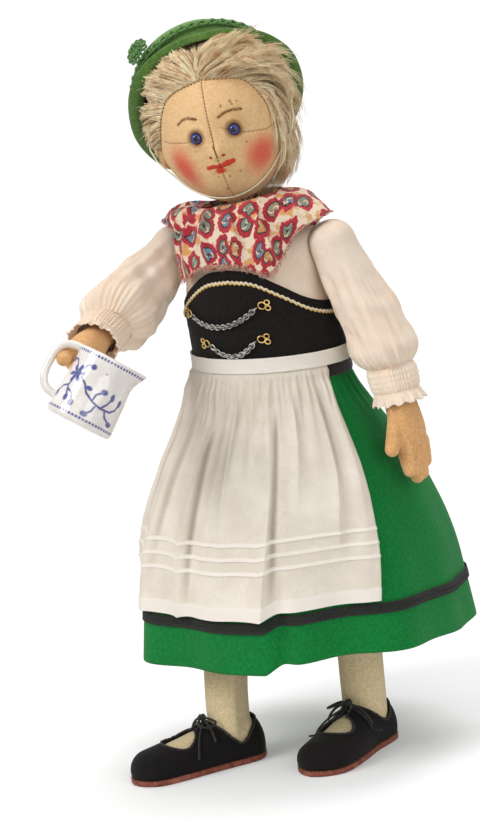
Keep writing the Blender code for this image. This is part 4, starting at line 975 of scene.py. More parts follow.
def grown(roots, lengths, dice):
    """Strands grown from their roots over the head, kept off the skin and out of the hat's felt."""
    around, down = roots[:, 0], roots[:, 1]
    spot = on_head(way_round(around, math.pi / 2 - down), 0.8)
    lines = [spot]
    stray = dice.normal(0.0, 1.0, (len(roots), 3))
    for step in range(STRAND_STEPS - 1):
        share = step / (STRAND_STEPS - 1)
        normal = (spot - HEAD_SPOT) / HEAD_HALF ** 2
        normal /= np.linalg.norm(normal, axis=1, keepdims=True)
        way = combed(spot)
        way -= normal * (way * normal).sum(1, keepdims=True)
        way /= np.maximum(np.linalg.norm(way, axis=1, keepdims=True), 0.2)
        tuft = ease(-spot[:, 0], 14.0, 34.0)[:, None]
        front = ease(spot[:, 2], 74.0, 90.0)[:, None]
        lift = (0.62 + 0.30 * front - (0.80 + 0.25 * front) * share) + tuft * 0.30
        calm = (ease(spot[:, 0], 4.0, 24.0) * ease(-spot[:, 2], -76.0, -54.0))[:, None]
        lift = lift * (1.0 - 0.45 * calm) - 0.14 * calm
        way = way + normal * lift + stray * (0.13 + 0.15 * share) * (1.0 - 0.5 * calm)
        way[:, 2] -= 0.20 * share
        way /= np.linalg.norm(way, axis=1, keepdims=True)
        spot = in_hat(spot + way * (lengths[:, None] / (STRAND_STEPS - 1)))
        reach = spot - HEAD_SPOT
        depth = np.sqrt(((reach / (HEAD_HALF * 1.045 + 0.8)) ** 2).sum(1, keepdims=True))
        spot = np.where(depth < 1.0, reach / depth + HEAD_SPOT, spot)
        lines.append(spot)
    return np.stack(lines, 1)


def under_strap(points):
    """Strands pressed down where the chin strap lies over them."""
    reach = (points - HEAD_SPOT) / HEAD_HALF
    depth = np.linalg.norm(reach, axis=-1)
    near = (reach @ strap_way(STRAP_REACH * np.linspace(-1.0, 1.0, 160)).T).max(-1) / depth
    aside = np.arccos(np.clip(near, -1.0, 1.0)) / 0.14
    pressed = np.where(aside < 1.0, np.minimum(depth, 1.145 + 0.2 * aside ** 2), depth)
    return reach * (pressed / depth)[..., None] * HEAD_HALF + HEAD_SPOT


dice = np.random.default_rng(21)
guide_roots = sow(WIG_GUIDES, dice)
left_share = ease(np.sin(guide_roots[:, 0]), -0.1, 0.4)
top_share = (1.0 - left_share) * (1.0 - ease(guide_roots[:, 1], 0.75, 1.15))
low_share = (1.0 - left_share) * ease(guide_roots[:, 1], 1.1, 1.55)
guide_lengths = dice.uniform(24.0, 33.0, WIG_GUIDES) + 12.0 * left_share + 9.0 * top_share
guide_lengths -= (13.0 + dice.uniform(-6.0, 6.0, WIG_GUIDES)) * low_share
guides = grown(guide_roots, guide_lengths, dice)
roots = sow(WIG_STRANDS, dice)
root_spots = on_head(way_round(roots[:, 0], math.pi / 2 - roots[:, 1]), 0.8)
nearest = np.argmin(((root_spots[:, None] - guides[None, :, 0]) ** 2).sum(-1), 1)
offsets = root_spots - guides[nearest, 0]
share = np.linspace(0.0, 1.0, STRAND_STEPS)[None, :, None]
close_in = 1.0 - (0.85 - 0.3 * left_share[nearest][:, None, None]) * share ** 0.8
frizz = np.cumsum(dice.normal(0.0, 0.5, (WIG_STRANDS, STRAND_STEPS, 3)), axis=1) * share
strands = guides[nearest] + offsets[:, None] * close_in + frizz
cut = dice.uniform(0.6, 1.0, WIG_STRANDS)
at = share[..., 0] * cut[:, None] * (STRAND_STEPS - 1)
step = np.minimum(at.astype(int), STRAND_STEPS - 2)
part = (at - step)[..., None]
row = np.arange(WIG_STRANDS)[:, None]
strands = under_strap(strands[row, step] * (1.0 - part) + strands[row, step + 1] * part)

mohair = Finish("mohair", Roughness=0.6, Sheen_Weight=0.12, Specular_IOR_Level=0.3)
where = mohair.place()
lock, fine = mohair.noise(where, 150.0), mohair.noise(where, 1100.0)
mohair.paint((lock * 0.55 + fine * 0.45).step(0.32, 0.6), "fff0cb", "dbae77")
order = np.argsort(strands[:, 0, 0])
for word, part_of in zip(("right", "middle", "left"), np.array_split(order, 3)):
    thick = dice.uniform(0.75, 1.25, len(part_of))
    wisps = threads(word + "_wig_hair", strands[part_of], mohair.material, HEAD, radius=0.25, tip=0.3,
                    sides=3, widths=thick)
    wear(wisps, "head", "mohair")
    print(word, "hair:", len(wisps.data.polygons), "faces")

# %% [markdown]
# Under the strands lies the wig's cap, a knitted ground seen only as shade between the tufts, and along the
# hairline a row of dark stitches holds it to the felt.
# %% Wig cap and hairline stitches
around, up = grid(120, 40, (-math.pi, math.pi))
down = hairline(around) * (1.0 - up)
cap_points = on_head(way_round(around, math.pi / 2 - down), 1.6 - 0.9 * bell(up, 0.0, 0.06))
uneven = ripple(around * 40.0, down * 45.0, 8, 9.0)[..., None]
cap_points += way_round(around, math.pi / 2 - down) * 0.5 * uneven
ground = mottled("wig_ground", "b39566", "e2cda2", 420.0, 4.0, 0.65, (0.3, 0.7), 0.0014, Roughness=0.85)
cap = skin("wig_cap", cap_points, ground, (around * HEAD_HALF[0], down * 45.0), HEAD, thick=1.0)
wear(cap, "head", "mohair", "wig")
stitch_bm = bmesh.new()
bmesh.ops.create_uvsphere(stitch_bm, u_segments=6, v_segments=4, radius=1.0)
bmesh.ops.scale(stitch_bm, vec=(1.0, 0.32, 0.26), verts=stitch_bm.verts[:])
stitch = item_mesh("stitch", stitch_bm)
brown_thread = mottled("brown_thread", "5b4023", "8a6438", 2500.0, Roughness=0.8)
span = np.linspace(-1.9, 1.9, 400)
hem_line = on_head(way_round(span, math.pi / 2 - hairline(span) - 0.015), 0.5)
spots, ways = even_steps(hem_line, 2.6)
outs = spots - HEAD_SPOT
hair_seam = repeated("hairline_stitches", stitch, spots, ways, outs, brown_thread, HEAD, 0.95, 0.5, 4)
wear(hair_seam, "head", "mohair")
seam_line = [on_head(way_round(np.array(0.0), np.array(math.asin((z - HEAD_MIDDLE) / HEAD_HALF[2]))), -0.25)
             for z in np.arange(40.0, 84.0, 1.0)]
spots, ways = even_steps(seam_line, 2.3)
outs = spots - HEAD_SPOT
ways = ways + np.cross(outs, ways) * 0.012
face_seam = repeated("face_seam_stitches", stitch, spots, ways, outs, brown_thread, HEAD, 0.72, 0.4, 5)
wear(face_seam, "head", "flesh_felt")
print("stitches:", len(hair_seam.data.polygons) // 24)

# %% [markdown]
# A thin round elastic runs under the chin and up both sides into the hat. It is stretched, so it lies on the
# head without a sag. It is a cord, and its path is the one that the solid has.
# %% Chin strap
bend = STRAP_REACH * np.linspace(-1.0, 1.0, STRAP_POINTS)
strap_share = np.abs(bend) / STRAP_REACH
strap_off = 1.3 + 6.4 * np.clip((strap_share - 0.62) / 0.2, 0.0, 1.0)
strap_path = np.array([on_head(way, off) for way, off in zip(strap_way(bend), strap_off)])
elastic = mottled("elastic", "d9cba9", "f4ead2", 1600.0, depth=0.0002, Roughness=0.65, Sheen_Weight=0.2)
strap = threads("chin_elastic", [strap_path], elastic, HEAD, radius=0.6, sides=10)
wear(strap, "head", "elastic", "chin_strap")
strap_world = world_points(strap_path, HEAD)

# %% [markdown]
# The blouse and apron are plain woven cotton. The weave is drawn from the cloth's own map, so threads run
# along and across each piece; slubs and a slow yellowing break it up.
# %% Cotton
def cotton(name, colour, deep, thread=0.55, relief=0.00022):
    finish = Finish(name, Roughness=0.85, Sheen_Weight=0.15, Specular_IOR_Level=0.25)
    u, v = finish.chart()
    where = finish.place()
    slub = finish.noise(where, 900.0, 2.0, 0.6)
    aged = finish.noise(where, 34.0, 4.0, 0.6)
    warp = (u * (math.tau / thread) + slub * 1.5).wave()
    weft = (v * (math.tau / thread) + slub * 1.5).wave()
    weave = (warp * 0.25 + weft * 0.25 + 0.5) * (slub * 0.5 + 0.75)
    finish.paint((aged * 0.7 + slub * 0.3).step(0.38, 0.66), colour, deep)
    finish.paint(weave.step(0.45, 0.15) * 0.22, deep)
    finish.bump(weave, relief)
    return finish, u, v


# %% [markdown]
# The torso is a plain stuffed bag of felt under the clothes, flat at the shoulders and scooped out for the
# thighs. The blouse is cut to it and shows between the kerchief and the bodice; at each shoulder it stands
# out to the seam where the sleeve turns.
# %% Torso and blouse
TORSO_ROWS = [
    (186, 4.0, 2.0, 32.0, 29.0), (200, 4.0, 1.0, 40.0, 36.0), (215, 4.0, 0.0, 46.0, 41.0),
    (235, 4.5, 0.0, 49.5, 43.0), (255, 5.0, 0.0, 50.0, 43.0), (270, 5.0, 0.0, 49.0, 42.0),
    (290, 3.0, 0.0, 48.5, 42.5), (308, 1.0, -1.0, 47.0, 42.0), (324, 0.0, -2.0, 44.0, 40.0),
    (338, -1.0, -3.0, 40.0, 36.0), (350, -2.0, -4.0, 33.5, 31.0), (359, -2.5, -4.5, 26.0, 25.0),
    (366, -3.0, -5.0, 21.5, 21.5), (384, -3.0, -5.0, 20.0, 20.0),
]
TORSO_LOW, TORSO_TALL, TORSO_ROUND = 186.0, 186.0, 14.0
HIP_SCOOP, GAP, SHOULDER_SEAM = 27.0, 0.4, -0.7


def on_torso(height, angle, off):
    """Points off the torso's skin; the angle runs from the front towards the doll's left."""
    row = eased(TORSO_ROWS, height)
    x = row[..., 1] + (row[..., 3] + off) * np.sin(angle)
    y = row[..., 2] - (row[..., 4] + off) * np.cos(angle)
    return np.stack(np.broadcast_arrays(x, y, height), -1)


angle, up = grid(120, 110, (-math.pi, math.pi))
height = TORSO_LOW + TORSO_TALL * up
closing = np.clip(1.0 - (height - TORSO_LOW) / TORSO_ROUND, 0.0, 1.0)
closing = np.sqrt(np.clip(1.0 - closing ** 2, 0.0, 1.0))
closing = np.where(up >= 1.0, 0.0, closing)
row = eased(TORSO_ROWS, height)
torso_points = np.stack((
    row[..., 1] + row[..., 3] * np.sin(angle) * closing,
    row[..., 2] - row[..., 4] * np.cos(angle) * closing,
    height,
), -1)
neck_way = HEAD[:3, 2]
over = np.maximum((torso_points - NECK) @ neck_way + GAP, 0.0)
torso_points -= over[..., None] * neck_way
for side in SIDES:
    in_scoop = np.hypot(torso_points[..., 1], torso_points[..., 2] - HIP_HEIGHT) < HIP_SCOOP
    limit = HIP_X[side] - side * GAP
    past = side * (torso_points[..., 0] - limit) > 0.0
    torso_points[..., 0] = np.where(in_scoop & past, limit, torso_points[..., 0])
body_felt = felt("body_felt", "d8b88a", "c09d6c", stain="b08d5c", sheen=0.12)
torso = skin("felt_torso", torso_points, body_felt.material, (angle * 45.0, height))
wear(torso, "torso", "flesh_felt", "torso")

blouse_cotton = cotton("blouse_cotton", "fff0dd", "f8e0c8")[0].material
angle, up = grid(200, 60, (-math.pi, math.pi))
BLOUSE_LOW, BLOUSE_TALL = 297.0, 68.0
height = BLOUSE_LOW + BLOUSE_TALL * up
crease = 0.45 * ripple(angle * 45.0, height * 0.5, 31, 15.0) * ease(height, 300.0, 316.0)
blouse_points = on_torso(height, angle, 2.3 + crease.clip(-0.5, 0.6))
for side in SIDES:
    local = in_frame(blouse_points, ARM[side])
    boss = 1.0 - ease(np.hypot(local[..., 1], local[..., 2]), 13.0, 21.0)
    boss = boss * (side * blouse_points[..., 0] > 0.0)
    local[..., 0] += (side * SHOULDER_SEAM - local[..., 0]) * boss
    blouse_points = local @ ARM[side][:3, :3].T + ARM[side][:3, 3]
blouse = skin("cotton_blouse", blouse_points, blouse_cotton, (angle * 45.0, height), thick=0.8)
wear(blouse, "torso", "blouse_cotton", "blouse")

# %% [markdown]
# The bodice is black felt, high in front and dipping under the arms. A zigzag braid of cream and gold follows
# its top edge, and two chains hang between brass hooks across the front.
# %% Bodice
BODICE_LOW, BODICE_OUTER = 273.0, 4.3
BODICE_TOP = [(0, 334), (20, 331.5), (40, 322), (60, 311.5), (80, 306.5), (110, 306), (145, 309), (180, 311)]


def bodice_top(angle):
    return eased(BODICE_TOP, np.degrees(np.abs(angle)))[..., 1]


angle, up = grid(220, 48, (-math.pi, math.pi))
height = BODICE_LOW + (bodice_top(angle) - BODICE_LOW) * up
soft = 0.25 * ripple(angle * 20.0, height, 41, 17.0) * np.sin(math.pi * up)
bodice_points = on_torso(height, angle, BODICE_OUTER + soft)
bodice_felt = felt("bodice_felt", "1a1513", "0b0807", pile=0.0004, stain="201a17", sheen=0.03)
bodice = skin("felt_bodice", bodice_points, bodice_felt.material, (angle * 45.0, height), thick=1.3)
wear(bodice, "torso", "bodice_felt", "bodice")

ZIG, BRAID_DOWN, BRAID_ROUND = 3.1, 7.8, 49.0
angle = np.linspace(-math.pi, math.pi, 2401)[:-1]
braid_line = bodice_top(angle) - BRAID_DOWN + 0.55 * zigzag(angle * BRAID_ROUND * math.tau / ZIG)
PLY = {"edges": (0.35, 0.65), "depth": 0.0003}
cream_yarn = mottled("cream_yarn", "cfb98c", "f6ecd2", 1500.0, **PLY, Roughness=0.7, Sheen_Weight=0.2)
gold_yarn = mottled("gold_yarn", "a77f33", "e4c473", 1500.0, **PLY, Roughness=0.42, Metallic=0.55)
cream = on_torso(braid_line + 0.3, angle, BODICE_OUTER + 0.65)
gold = on_torso(braid_line - 0.75, angle, BODICE_OUTER + 0.6)
braid = threads("cream_ricrac", [cream], cream_yarn, radius=0.72, sides=6, closed=True)
wear(braid, "torso", "gold_braid", "bodice_braid")
gold_edge = threads("gold_ricrac", [gold], gold_yarn, radius=0.42, sides=5, closed=True)
wear(gold_edge, "torso", "gold_braid")
print("bodice braid zigzags:", round(math.tau * BRAID_ROUND / ZIG))

# %% [markdown]
# A link is an oval ring of wire. The tree sets links out along each chain's sag, every other one rolled over,
# as in a curb chain. Each hook is a wire eye with two smaller loops, by which it is sewn down.
# %% Chains and hooks
def metal(name, bright, dull, rough=0.3):
    finish = Finish(name, Metallic=1.0)
    where = finish.place()
    tarnish = finish.noise(where, 260.0, 4.0, 0.65)
    scratch = finish.noise(where, 1600.0)
    finish.paint(tarnish.step(0.38, 0.68), dull, bright)
    finish.feed(Roughness=tarnish * 0.35 + (rough - 0.12))
    finish.bump(scratch, 0.0001)
    return finish.material


chain_metal = metal("chain_metal", "bdbcb6", "5f5c55")
hook_brass = metal("hook_brass", "e6c680", "a98546")
LINK_LONG, LINK_WIDE, LINK_WIRE = 2.15, 1.55, 0.46
link_bm = bmesh.new()
ring_steps, wire_steps = 16, 6
rings = []
for k in range(ring_steps):
    lie = math.tau * k / ring_steps
    middle = Vector((LINK_LONG * math.cos(lie), LINK_WIDE * math.sin(lie), 0.0))
    out = Vector((math.cos(lie), math.sin(lie), 0.0))
    rings.append([
        link_bm.verts.new(middle + (out * math.cos(b) + UP * math.sin(b)) * LINK_WIRE)
        for b in (math.tau * j / wire_steps for j in range(wire_steps))
    ])
for k in range(ring_steps):
    for j in range(wire_steps):
        here, there = rings[k], rings[(k + 1) % ring_steps]
        link_bm.faces.new((here[j], here[(j + 1) % wire_steps], there[(j + 1) % wire_steps], there[j]))
bmesh.ops.recalc_face_normals(link_bm, faces=link_bm.faces[:])
link = item_mesh("chain_link", link_bm)
CHAINS = {"upper": ((-37.5, 303.5), (19.0, 308.5), 9.0), "lower": ((-22.0, 284.0), (13.0, 286.5), 8.0)}
for word, (start, finish_at, sag) in CHAINS.items():
    t = np.linspace(0.0, 1.0, 60)
    angle = np.radians(start[0] + (finish_at[0] - start[0]) * t)
    height = start[1] + (finish_at[1] - start[1]) * t - 4.0 * sag * t * (1.0 - t)
    line = on_torso(height, angle, BODICE_OUTER + 1.7)
    spots, ways = even_steps(line, 2.35)
    middle = eased(TORSO_ROWS, spots[:, 2])
    outs = np.stack((spots[:, 0] - middle[:, 1], spots[:, 1] - middle[:, 2], np.zeros(len(spots))), -1)
    chain = repeated(word + "_curb_chain", link, spots, ways, outs, chain_metal, wobble=0.35, seed=7,
                     alternate=1.25)
    wear(chain, "torso", "chain_metal", word + "_chain")
    for end, (degrees, end_height), step in (("right", start, -1), ("left", finish_at, 1)):
        wires = []
        for aside, rise, loop in ((5.0, 1.5, 2.2), (9.0, 3.3, 1.5), (9.0, -0.4, 1.5)):
            turn_round = np.linspace(0.0, math.tau, 25)[:-1]
            arc = math.radians(degrees + aside * step)
            h = end_height + rise + loop * np.sin(turn_round)
            a = arc + loop * np.cos(turn_round) / 47.0
            wires.append(on_torso(h, a, BODICE_OUTER + 1.2))
        hook = threads("%s_%s_brass_hook" % (word, end), wires, hook_brass, radius=0.44, sides=8, closed=True)
        wear(hook, "torso", "hook_brass", "%s_%s_hook" % (word, end))
    print(word, "chain links:", len(spots))

# %% [markdown]
# The kerchief is a printed cotton square, folded round the shoulders and tucked in at the bodice. It lies in
# pleats that run down from the neck, each with a slow rise and a steep fall, and its raw edge is frayed.
# %% Kerchief
KERCHIEF_EDGE = [
    (-180, 48.0, 316.0), (-140, 46.5, 341.0), (-118, 49.0, 356.0), (-102, 57.0, 361.0), (-88, 57.5, 362.0),
    (-73, 46.5, 356.0), (-60, 45.0, 341.0), (-45, 44.5, 327.0), (-24, 43.0, 334.5), (0, 40.5, 336.5),
    (22, 42.5, 335.0), (42, 46.5, 329.5), (55, 45.5, 340.0), (68, 46.0, 352.0), (86, 59.0, 361.0),
    (102, 58.0, 361.5), (118, 49.0, 356.0), (140, 46.5, 341.0), (180, 48.0, 316.0),
]
KERCHIEF_NECK, KERCHIEF_RISE = 26.0, 1.0
PLEATS = [(-150, 0.9), (-108, 1.0), (-74, 1.2), (-48, 1.3), (-24, 1.2), (8, 1.0), (34, 1.4), (66, 0.9),
          (104, 1.0), (150, 0.9)]


def kerchief_at(angle, away, lift):
    """The kerchief from the neck (away 0) to its edge (away 1), in pleats that turn as they run down."""
    edge = eased(KERCHIEF_EDGE, np.degrees(angle))
    swell = np.sin(math.pi * np.clip(away, 0.0, 1.0))
    radius = KERCHIEF_NECK + (edge[..., 1] - KERCHIEF_NECK) * away + 2.8 * swell
    reach = np.stack((np.sin(angle), -np.cos(angle), np.zeros_like(angle)), -1)
    collar = NECK[2] + KERCHIEF_RISE - KERCHIEF_NECK * (reach @ neck_way) / neck_way[2]
    height = collar + (edge[..., 2] - collar) * away + 2.0 * swell
    folds = 0.5 * np.cos(8.0 * angle)
    for degrees, high in PLEATS:
        aside = (np.degrees(angle) - degrees - 14.0 * away + 180.0) % 360.0 - 180.0
        folds = folds + 5.2 * high * np.exp(np.where(aside < 0.0, aside / 10.0, -aside / 2.0))
    folds = folds * np.maximum(swell, 0.0) ** 0.7
    radius = radius + lift + 0.75 * folds
    height = height + lift * 0.8 + 0.65 * folds
    spots = NECK[0] + radius * np.sin(angle), NECK[1] - radius * np.cos(angle), height
    return np.stack(np.broadcast_arrays(*spots), -1)


angle, away = grid(420, 60, (-math.pi, math.pi), (1.0, 0.0))
kerchief_points = kerchief_at(angle, away, 1.2)
legs = np.linalg.norm(np.diff(kerchief_points[::-1], axis=0), axis=2)
reach = np.concatenate((np.zeros((1, legs.shape[1])), np.cumsum(legs, axis=0)))[::-1] + 24.0
kerchief_u, kerchief_v = reach * np.sin(angle * 0.93), -reach * np.cos(angle * 0.93)
print("kerchief reach:", round(float(reach.max())), "mm")

# %% [markdown]
# The print is a common folk rosette: a scalloped crimson ring, open on one side, with a dark line round a
# grey or blue heart, close together on cream. Cells round scattered points give one rosette each; the angle
# round a cell's point scallops and opens it.
# %% Kerchief print
MOTIF = 14.4
kerchief_cotton = Finish("kerchief_cotton", Roughness=0.85, Sheen_Weight=0.15)
u, v = kerchief_cotton.chart()
plan = kerchief_cotton.node("ShaderNodeCombineXYZ", {}, {0: u * (1.0 / MOTIF), 1: v * (1.0 / MOTIF)})
cells = {"Vector": plan, "Scale": 1.0, "Randomness": 0.48}
flat_cells = {"voronoi_dimensions": "2D"}
heart = kerchief_cotton.node("ShaderNodeTexVoronoi", flat_cells, cells, "Position")
chance = kerchief_cotton.node("ShaderNodeTexVoronoi", flat_cells, cells, "Color")
dx, dy = (here - there for here, there in zip(*map(kerchief_cotton.split, (plan, heart))))
luck, _ = kerchief_cotton.split(chance)
bearing = dy.math("ARCTAN2", dx)
where = kerchief_cotton.place()
fade = kerchief_cotton.noise(where, 120.0, 3.0, 0.6)
away = (dx * dx * 1.2 + dy * dy * 0.85 + dx * dy * 0.3).root()
away = away + (bearing * 13.0 + luck * 20.0).wave() * 0.018
away = away + (bearing + luck * 37.0).wave().step(0.7, 1.0) * 0.16 + fade * 0.16 - 0.08
curl = (bearing * 2.0 + away * 16.0 + luck * 40.0).wave()
ground = kerchief_cotton.mix(fade.step(0.50, 0.60), "efdcc2", "dfa45e")
heart_shade = kerchief_cotton.mix(luck.step(0.45, 0.6), "7b8879", "74859c")
heart_shade = kerchief_cotton.mix(luck.step(0.2, 0.14), heart_shade, "c98c55")
heart_shade = kerchief_cotton.mix(curl.step(0.45, 0.85), heart_shade, "a88c68")
heart_shade = kerchief_cotton.mix(curl.step(0.86, 0.97), heart_shade, "f0dcc0")
ring_shade = kerchief_cotton.mix(fade.step(0.4, 0.7), "a81c30", "c4303f")
kerchief_cotton.paint(away.step(0.54, 0.52), "e58a86", ground)
kerchief_cotton.paint(away.step(0.515, 0.495), ring_shade)
kerchief_cotton.paint(away.step(0.335, 0.32), "33201f")
kerchief_cotton.paint(away.step(0.275, 0.26), heart_shade)
kerchief_cotton.paint(away.step(0.085, 0.07) * luck.step(0.3, 0.4), "3a2524")
thread_wave = (u * (math.tau / 0.6)).wave() * 0.25 + (v * (math.tau / 0.6)).wave() * 0.25 + 0.5
kerchief_cotton.paint(thread_wave.step(0.35, 0.05) * 0.3, "6b4a3c")
kerchief_cotton.bump(thread_wave * 0.5 + fade * 0.5, 0.0003)
kerchief = skin("printed_kerchief", kerchief_points, kerchief_cotton.material, (kerchief_u, kerchief_v),
                thick=0.9)
wear(kerchief, "torso", "kerchief_cotton", "kerchief")
fray_yarn = Finish("fray_yarn", Roughness=0.85)
tone = fray_yarn.noise(fray_yarn.place(), 330.0, 3.0, 0.7)
fray_yarn.paint(tone.step(0.42, 0.5), "e0b49a", "b02a3a")
fray_yarn.paint(tone.step(0.56, 0.64), "7d7a68")
dice = np.random.default_rng(5)
lines = []
for lie in np.linspace(-math.pi, math.pi, 760, endpoint=False):
    bent = dice.normal(0.0, 0.035, 2)
    long = dice.uniform(0.03, 0.12) * (1.0 - 0.65 * bell(abs(lie), 1.57, 0.6))
    steps = np.linspace(0.0, 1.0, 5)
    a = lie + bent[0] * steps + bent[1] * steps ** 2
    rise = 1.1 + dice.uniform(-0.2, 1.0) * steps
    lines.append(kerchief_at(np.clip(a, -math.pi, math.pi), 0.985 + long * steps, rise))
fringe = threads("kerchief_fray", lines, fray_yarn.material, radius=0.26, tip=0.5, sides=3)
wear(fringe, "torso", "kerchief_cotton")

# %% [markdown]
# The skirt is heavy green felt that hangs in broad folds, deepest at the hem, and is hitched up a little
# beside one sharp fold in front. It is sewn to a black waistband, and a black openwork braid runs round above
# the hem. The apron's band is tied over it and buttons at the back.
# %% Skirt
SKIRT_ROWS = [
    (76, 8.0, 3.0, 112.0, 107.0), (110, 8.0, 3.0, 109.0, 104.0), (140, 8.0, 3.0, 104.5, 99.5),
    (170, 8.0, 2.0, 96.0, 92.0), (200, 8.5, 1.0, 82.5, 79.0), (225, 8.0, 0.0, 67.5, 63.5),
    (245, 6.0, 0.0, 57.0, 50.5), (257, 5.0, 0.0, 52.6, 45.6),
]
SKIRT_HEM, SKIRT_TOP, FOLD_DEPTH = 78.0, 258.6, 7.0
HITCH_ROWS = [(0.16, 0.0), (0.27, 6.0), (1.05, 6.0), (1.65, 0.0)]
CREASE, CREASE_ANGLE, CREASE_WIDE = 7.0, 0.27, 0.06


def on_skirt(height, angle, off):
    """Points off the skirt's cloth, whose folds deepen towards the hem."""
    row = eased(SKIRT_ROWS, height)
    share = np.clip((250.0 - height) / 170.0, 0.0, 1.0)
    fold = 0.65 * np.cos(7.0 * angle - 1.1) + 0.35 * np.cos(11.0 * angle + 2.0)
    crease = bell(angle, CREASE_ANGLE, CREASE_WIDE)
    extra = off + (FOLD_DEPTH * fold - CREASE * crease) * share * share
    hitch = eased(HITCH_ROWS, angle)[..., 1]
    x = row[..., 1] + (row[..., 3] + extra) * np.sin(angle)
    y = row[..., 2] - (row[..., 4] + extra) * np.cos(angle)
    return np.stack(np.broadcast_arrays(x, y, height + hitch * share ** 1.5), -1)


angle, up = grid(420, 76, (-math.pi, math.pi))
height = SKIRT_HEM + (SKIRT_TOP - SKIRT_HEM) * up
gather = 0.9 * np.cos(38.0 * angle + 0.7 * np.sin(5.0 * angle))
gather *= ease(height, 222.0, 250.0) * ease(-height, -257.0, -253.0)
soft = 0.5 * ripple(angle * 70.0, height * 0.5, 51, 44.0, 2) * ease(-height, -240.0, -200.0)
skirt_points = on_skirt(height, angle, np.minimum(gather, 0.5) + np.minimum(soft, 0.3) - 0.3)
skirt_felt = felt("skirt_felt", "0a7f37", "06652b", pile=0.0003, stain="086f30", sheen=0.06)
skirt = skin("felt_skirt", skirt_points, skirt_felt.material, (angle * 90.0, height), thick=1.4)
skirt_area = area_of(skirt)
wear(skirt, "torso", "skirt_felt", "skirt")
print("skirt cloth:", round(skirt_area * 1e4), "cm2")

black_yarn = mottled("black_yarn", "0b0909", "221d1b", 1400.0, **PLY, Roughness=0.75, Sheen_Weight=0.05)
angle = np.linspace(-math.pi, math.pi, 3601)[:-1]
reach = angle * 106.0
lines = [on_skirt(np.full(angle.shape, h), angle, 0.75) for h in (106.3, 107.2, 109.9, 110.8)]
lines += [on_skirt(108.55 + 1.4 * zigzag(reach * math.tau / 4.2 + phase), angle, 0.85)
          for phase in (0.0, math.pi)]
picot = 0.6 * np.abs(np.sin(reach * math.pi / 2.6))
lines += [on_skirt(edge, angle, 0.75) for edge in (105.7 - picot, 111.4 + picot)]
lace_trim = threads("skirt_lace_braid", lines, black_yarn, radius=0.43, sides=4, closed=True)
wear(lace_trim, "torso", "black_braid", "skirt_braid")
print("skirt braid threads:", len(lines), "faces:", len(lace_trim.data.polygons))

# %% [markdown]
# Two bands lie over each other at the waist: the black one of the skirt and the white one of the apron. Both
# are doubled cloth with a stitched edge, so each has a slightly raised rim.
# %% Waistband and apron band
band_felt = felt("waistband_cloth", "2a2523", "151212", pile=0.0003)
apron_cotton, u, v = cotton("apron_cotton", "f6ecdf", "e6dbcb", thread=0.6)
BANDS = {"skirt_band": (257.0, 272.4, 4.2, "black_braid", "skirt_waistband", band_felt.material, 1.2),
         "apron_tie_band": (265.4, 275.5, 6.1, "apron_cotton", "apron_band", apron_cotton.material, 1.1)}
for name, (low, high, outer, slot_name, node, finish, wall) in BANDS.items():
    angle, up = grid(220, 18, (-math.pi, math.pi))
    height = low + (high - low) * up
    rim = 0.25 * (bell(up, 0.08, 0.06) + bell(up, 0.92, 0.06))
    rim = rim + 0.22 * ripple(angle * 50.0, height * 2.0, 61, 22.0)
    overlap = 0.5 * ease(angle, math.pi - 0.2, math.pi - 0.16)
    band_points = on_torso(height, angle, outer + rim + overlap - 0.2)
    band_points[:, -1] = band_points[:, 0]
    band = skin(name, band_points, finish, (angle * 52.0, height + 300.0), thick=wall)
    wear(band, "torso", slot_name, node)
    area_of(band) / ((high - low) * MM)
    (high - low) * MM
print("bands:", list(BANDS))

# %% [markdown]
# The apron is fine white cotton, gathered into its band. Each gather starts as a sharp pleat under the band
# and spreads into a soft fold lower down; a few longer plaits fall over to one side and run on towards the
# hem, with painted shade down the crease beside each. Three pin tucks cross it, each a small doubled ridge
# that drops sharply at its lower edge, and the hem is turned up. Its top is tucked under the band.
# %% Apron
APRON_HEM, APRON_TOP, BAND_LOW = 114.5, 268.0, 265.4
APRON_SIDES = {LEFT: (50.0, 63.0), RIGHT: (-80.0, -80.0)}
TUCKS, TUCK_DEEP = (143.5, 152.5, 161.5), 2.6
APRON_WIDE, APRON_GATHERS = 230.0, 34
dice = np.random.default_rng(17)
heights = np.unique(np.round(np.concatenate([
    np.linspace(APRON_HEM, APRON_TOP, 84), np.array((APRON_HEM + 0.4, APRON_HEM + 9.0, APRON_HEM + 9.4)),
    *[t + np.array((-0.5, -0.25, 0.0, 0.3, 0.9, 1.7, 2.6, 3.2)) for t in TUCKS],
]), 2))
across, height = np.meshgrid(np.linspace(0.0, 1.0, 261), heights)
rise = (height - APRON_HEM) / (BAND_LOW - APRON_HEM)
edge_right, edge_left = (np.radians(a + (b - a) * rise) for a, b in (APRON_SIDES[RIGHT], APRON_SIDES[LEFT]))
angle = edge_right + (edge_left - edge_right) * across
below = BAND_LOW - height
folds = np.zeros(across.shape)
for k in range(APRON_GATHERS):
    spot = (k + dice.uniform(0.2, 0.8)) / APRON_GATHERS
    deep = dice.uniform(2.0, 4.6)
    long = dice.choice((24.0, 42.0, 80.0, 200.0), p=(0.3, 0.3, 0.22, 0.18))
    wide = 0.0075 + 0.00020 * below + dice.uniform(0.0, 0.003)
    drift = spot + dice.normal(0.0, 0.00018) * below
    fade = np.exp(-(below / long) ** 2) * (0.35 + 0.65 * ease(below, 1.0, 9.0))
    folds += deep * fade * bell(across, drift, wide)
PLAITS = [
    (0.16, 4.0, 8.0, 150.0), (0.30, 4.5, 10.0, 170.0), (0.435, 7.5, 26.0, 190.0), (0.545, 5.0, 8.0, 100.0),
    (0.615, 4.5, 4.0, 66.0), (0.695, 7.0, 18.0, 190.0), (0.785, 5.5, 8.0, 92.0), (0.90, 4.5, 6.0, 130.0),
]
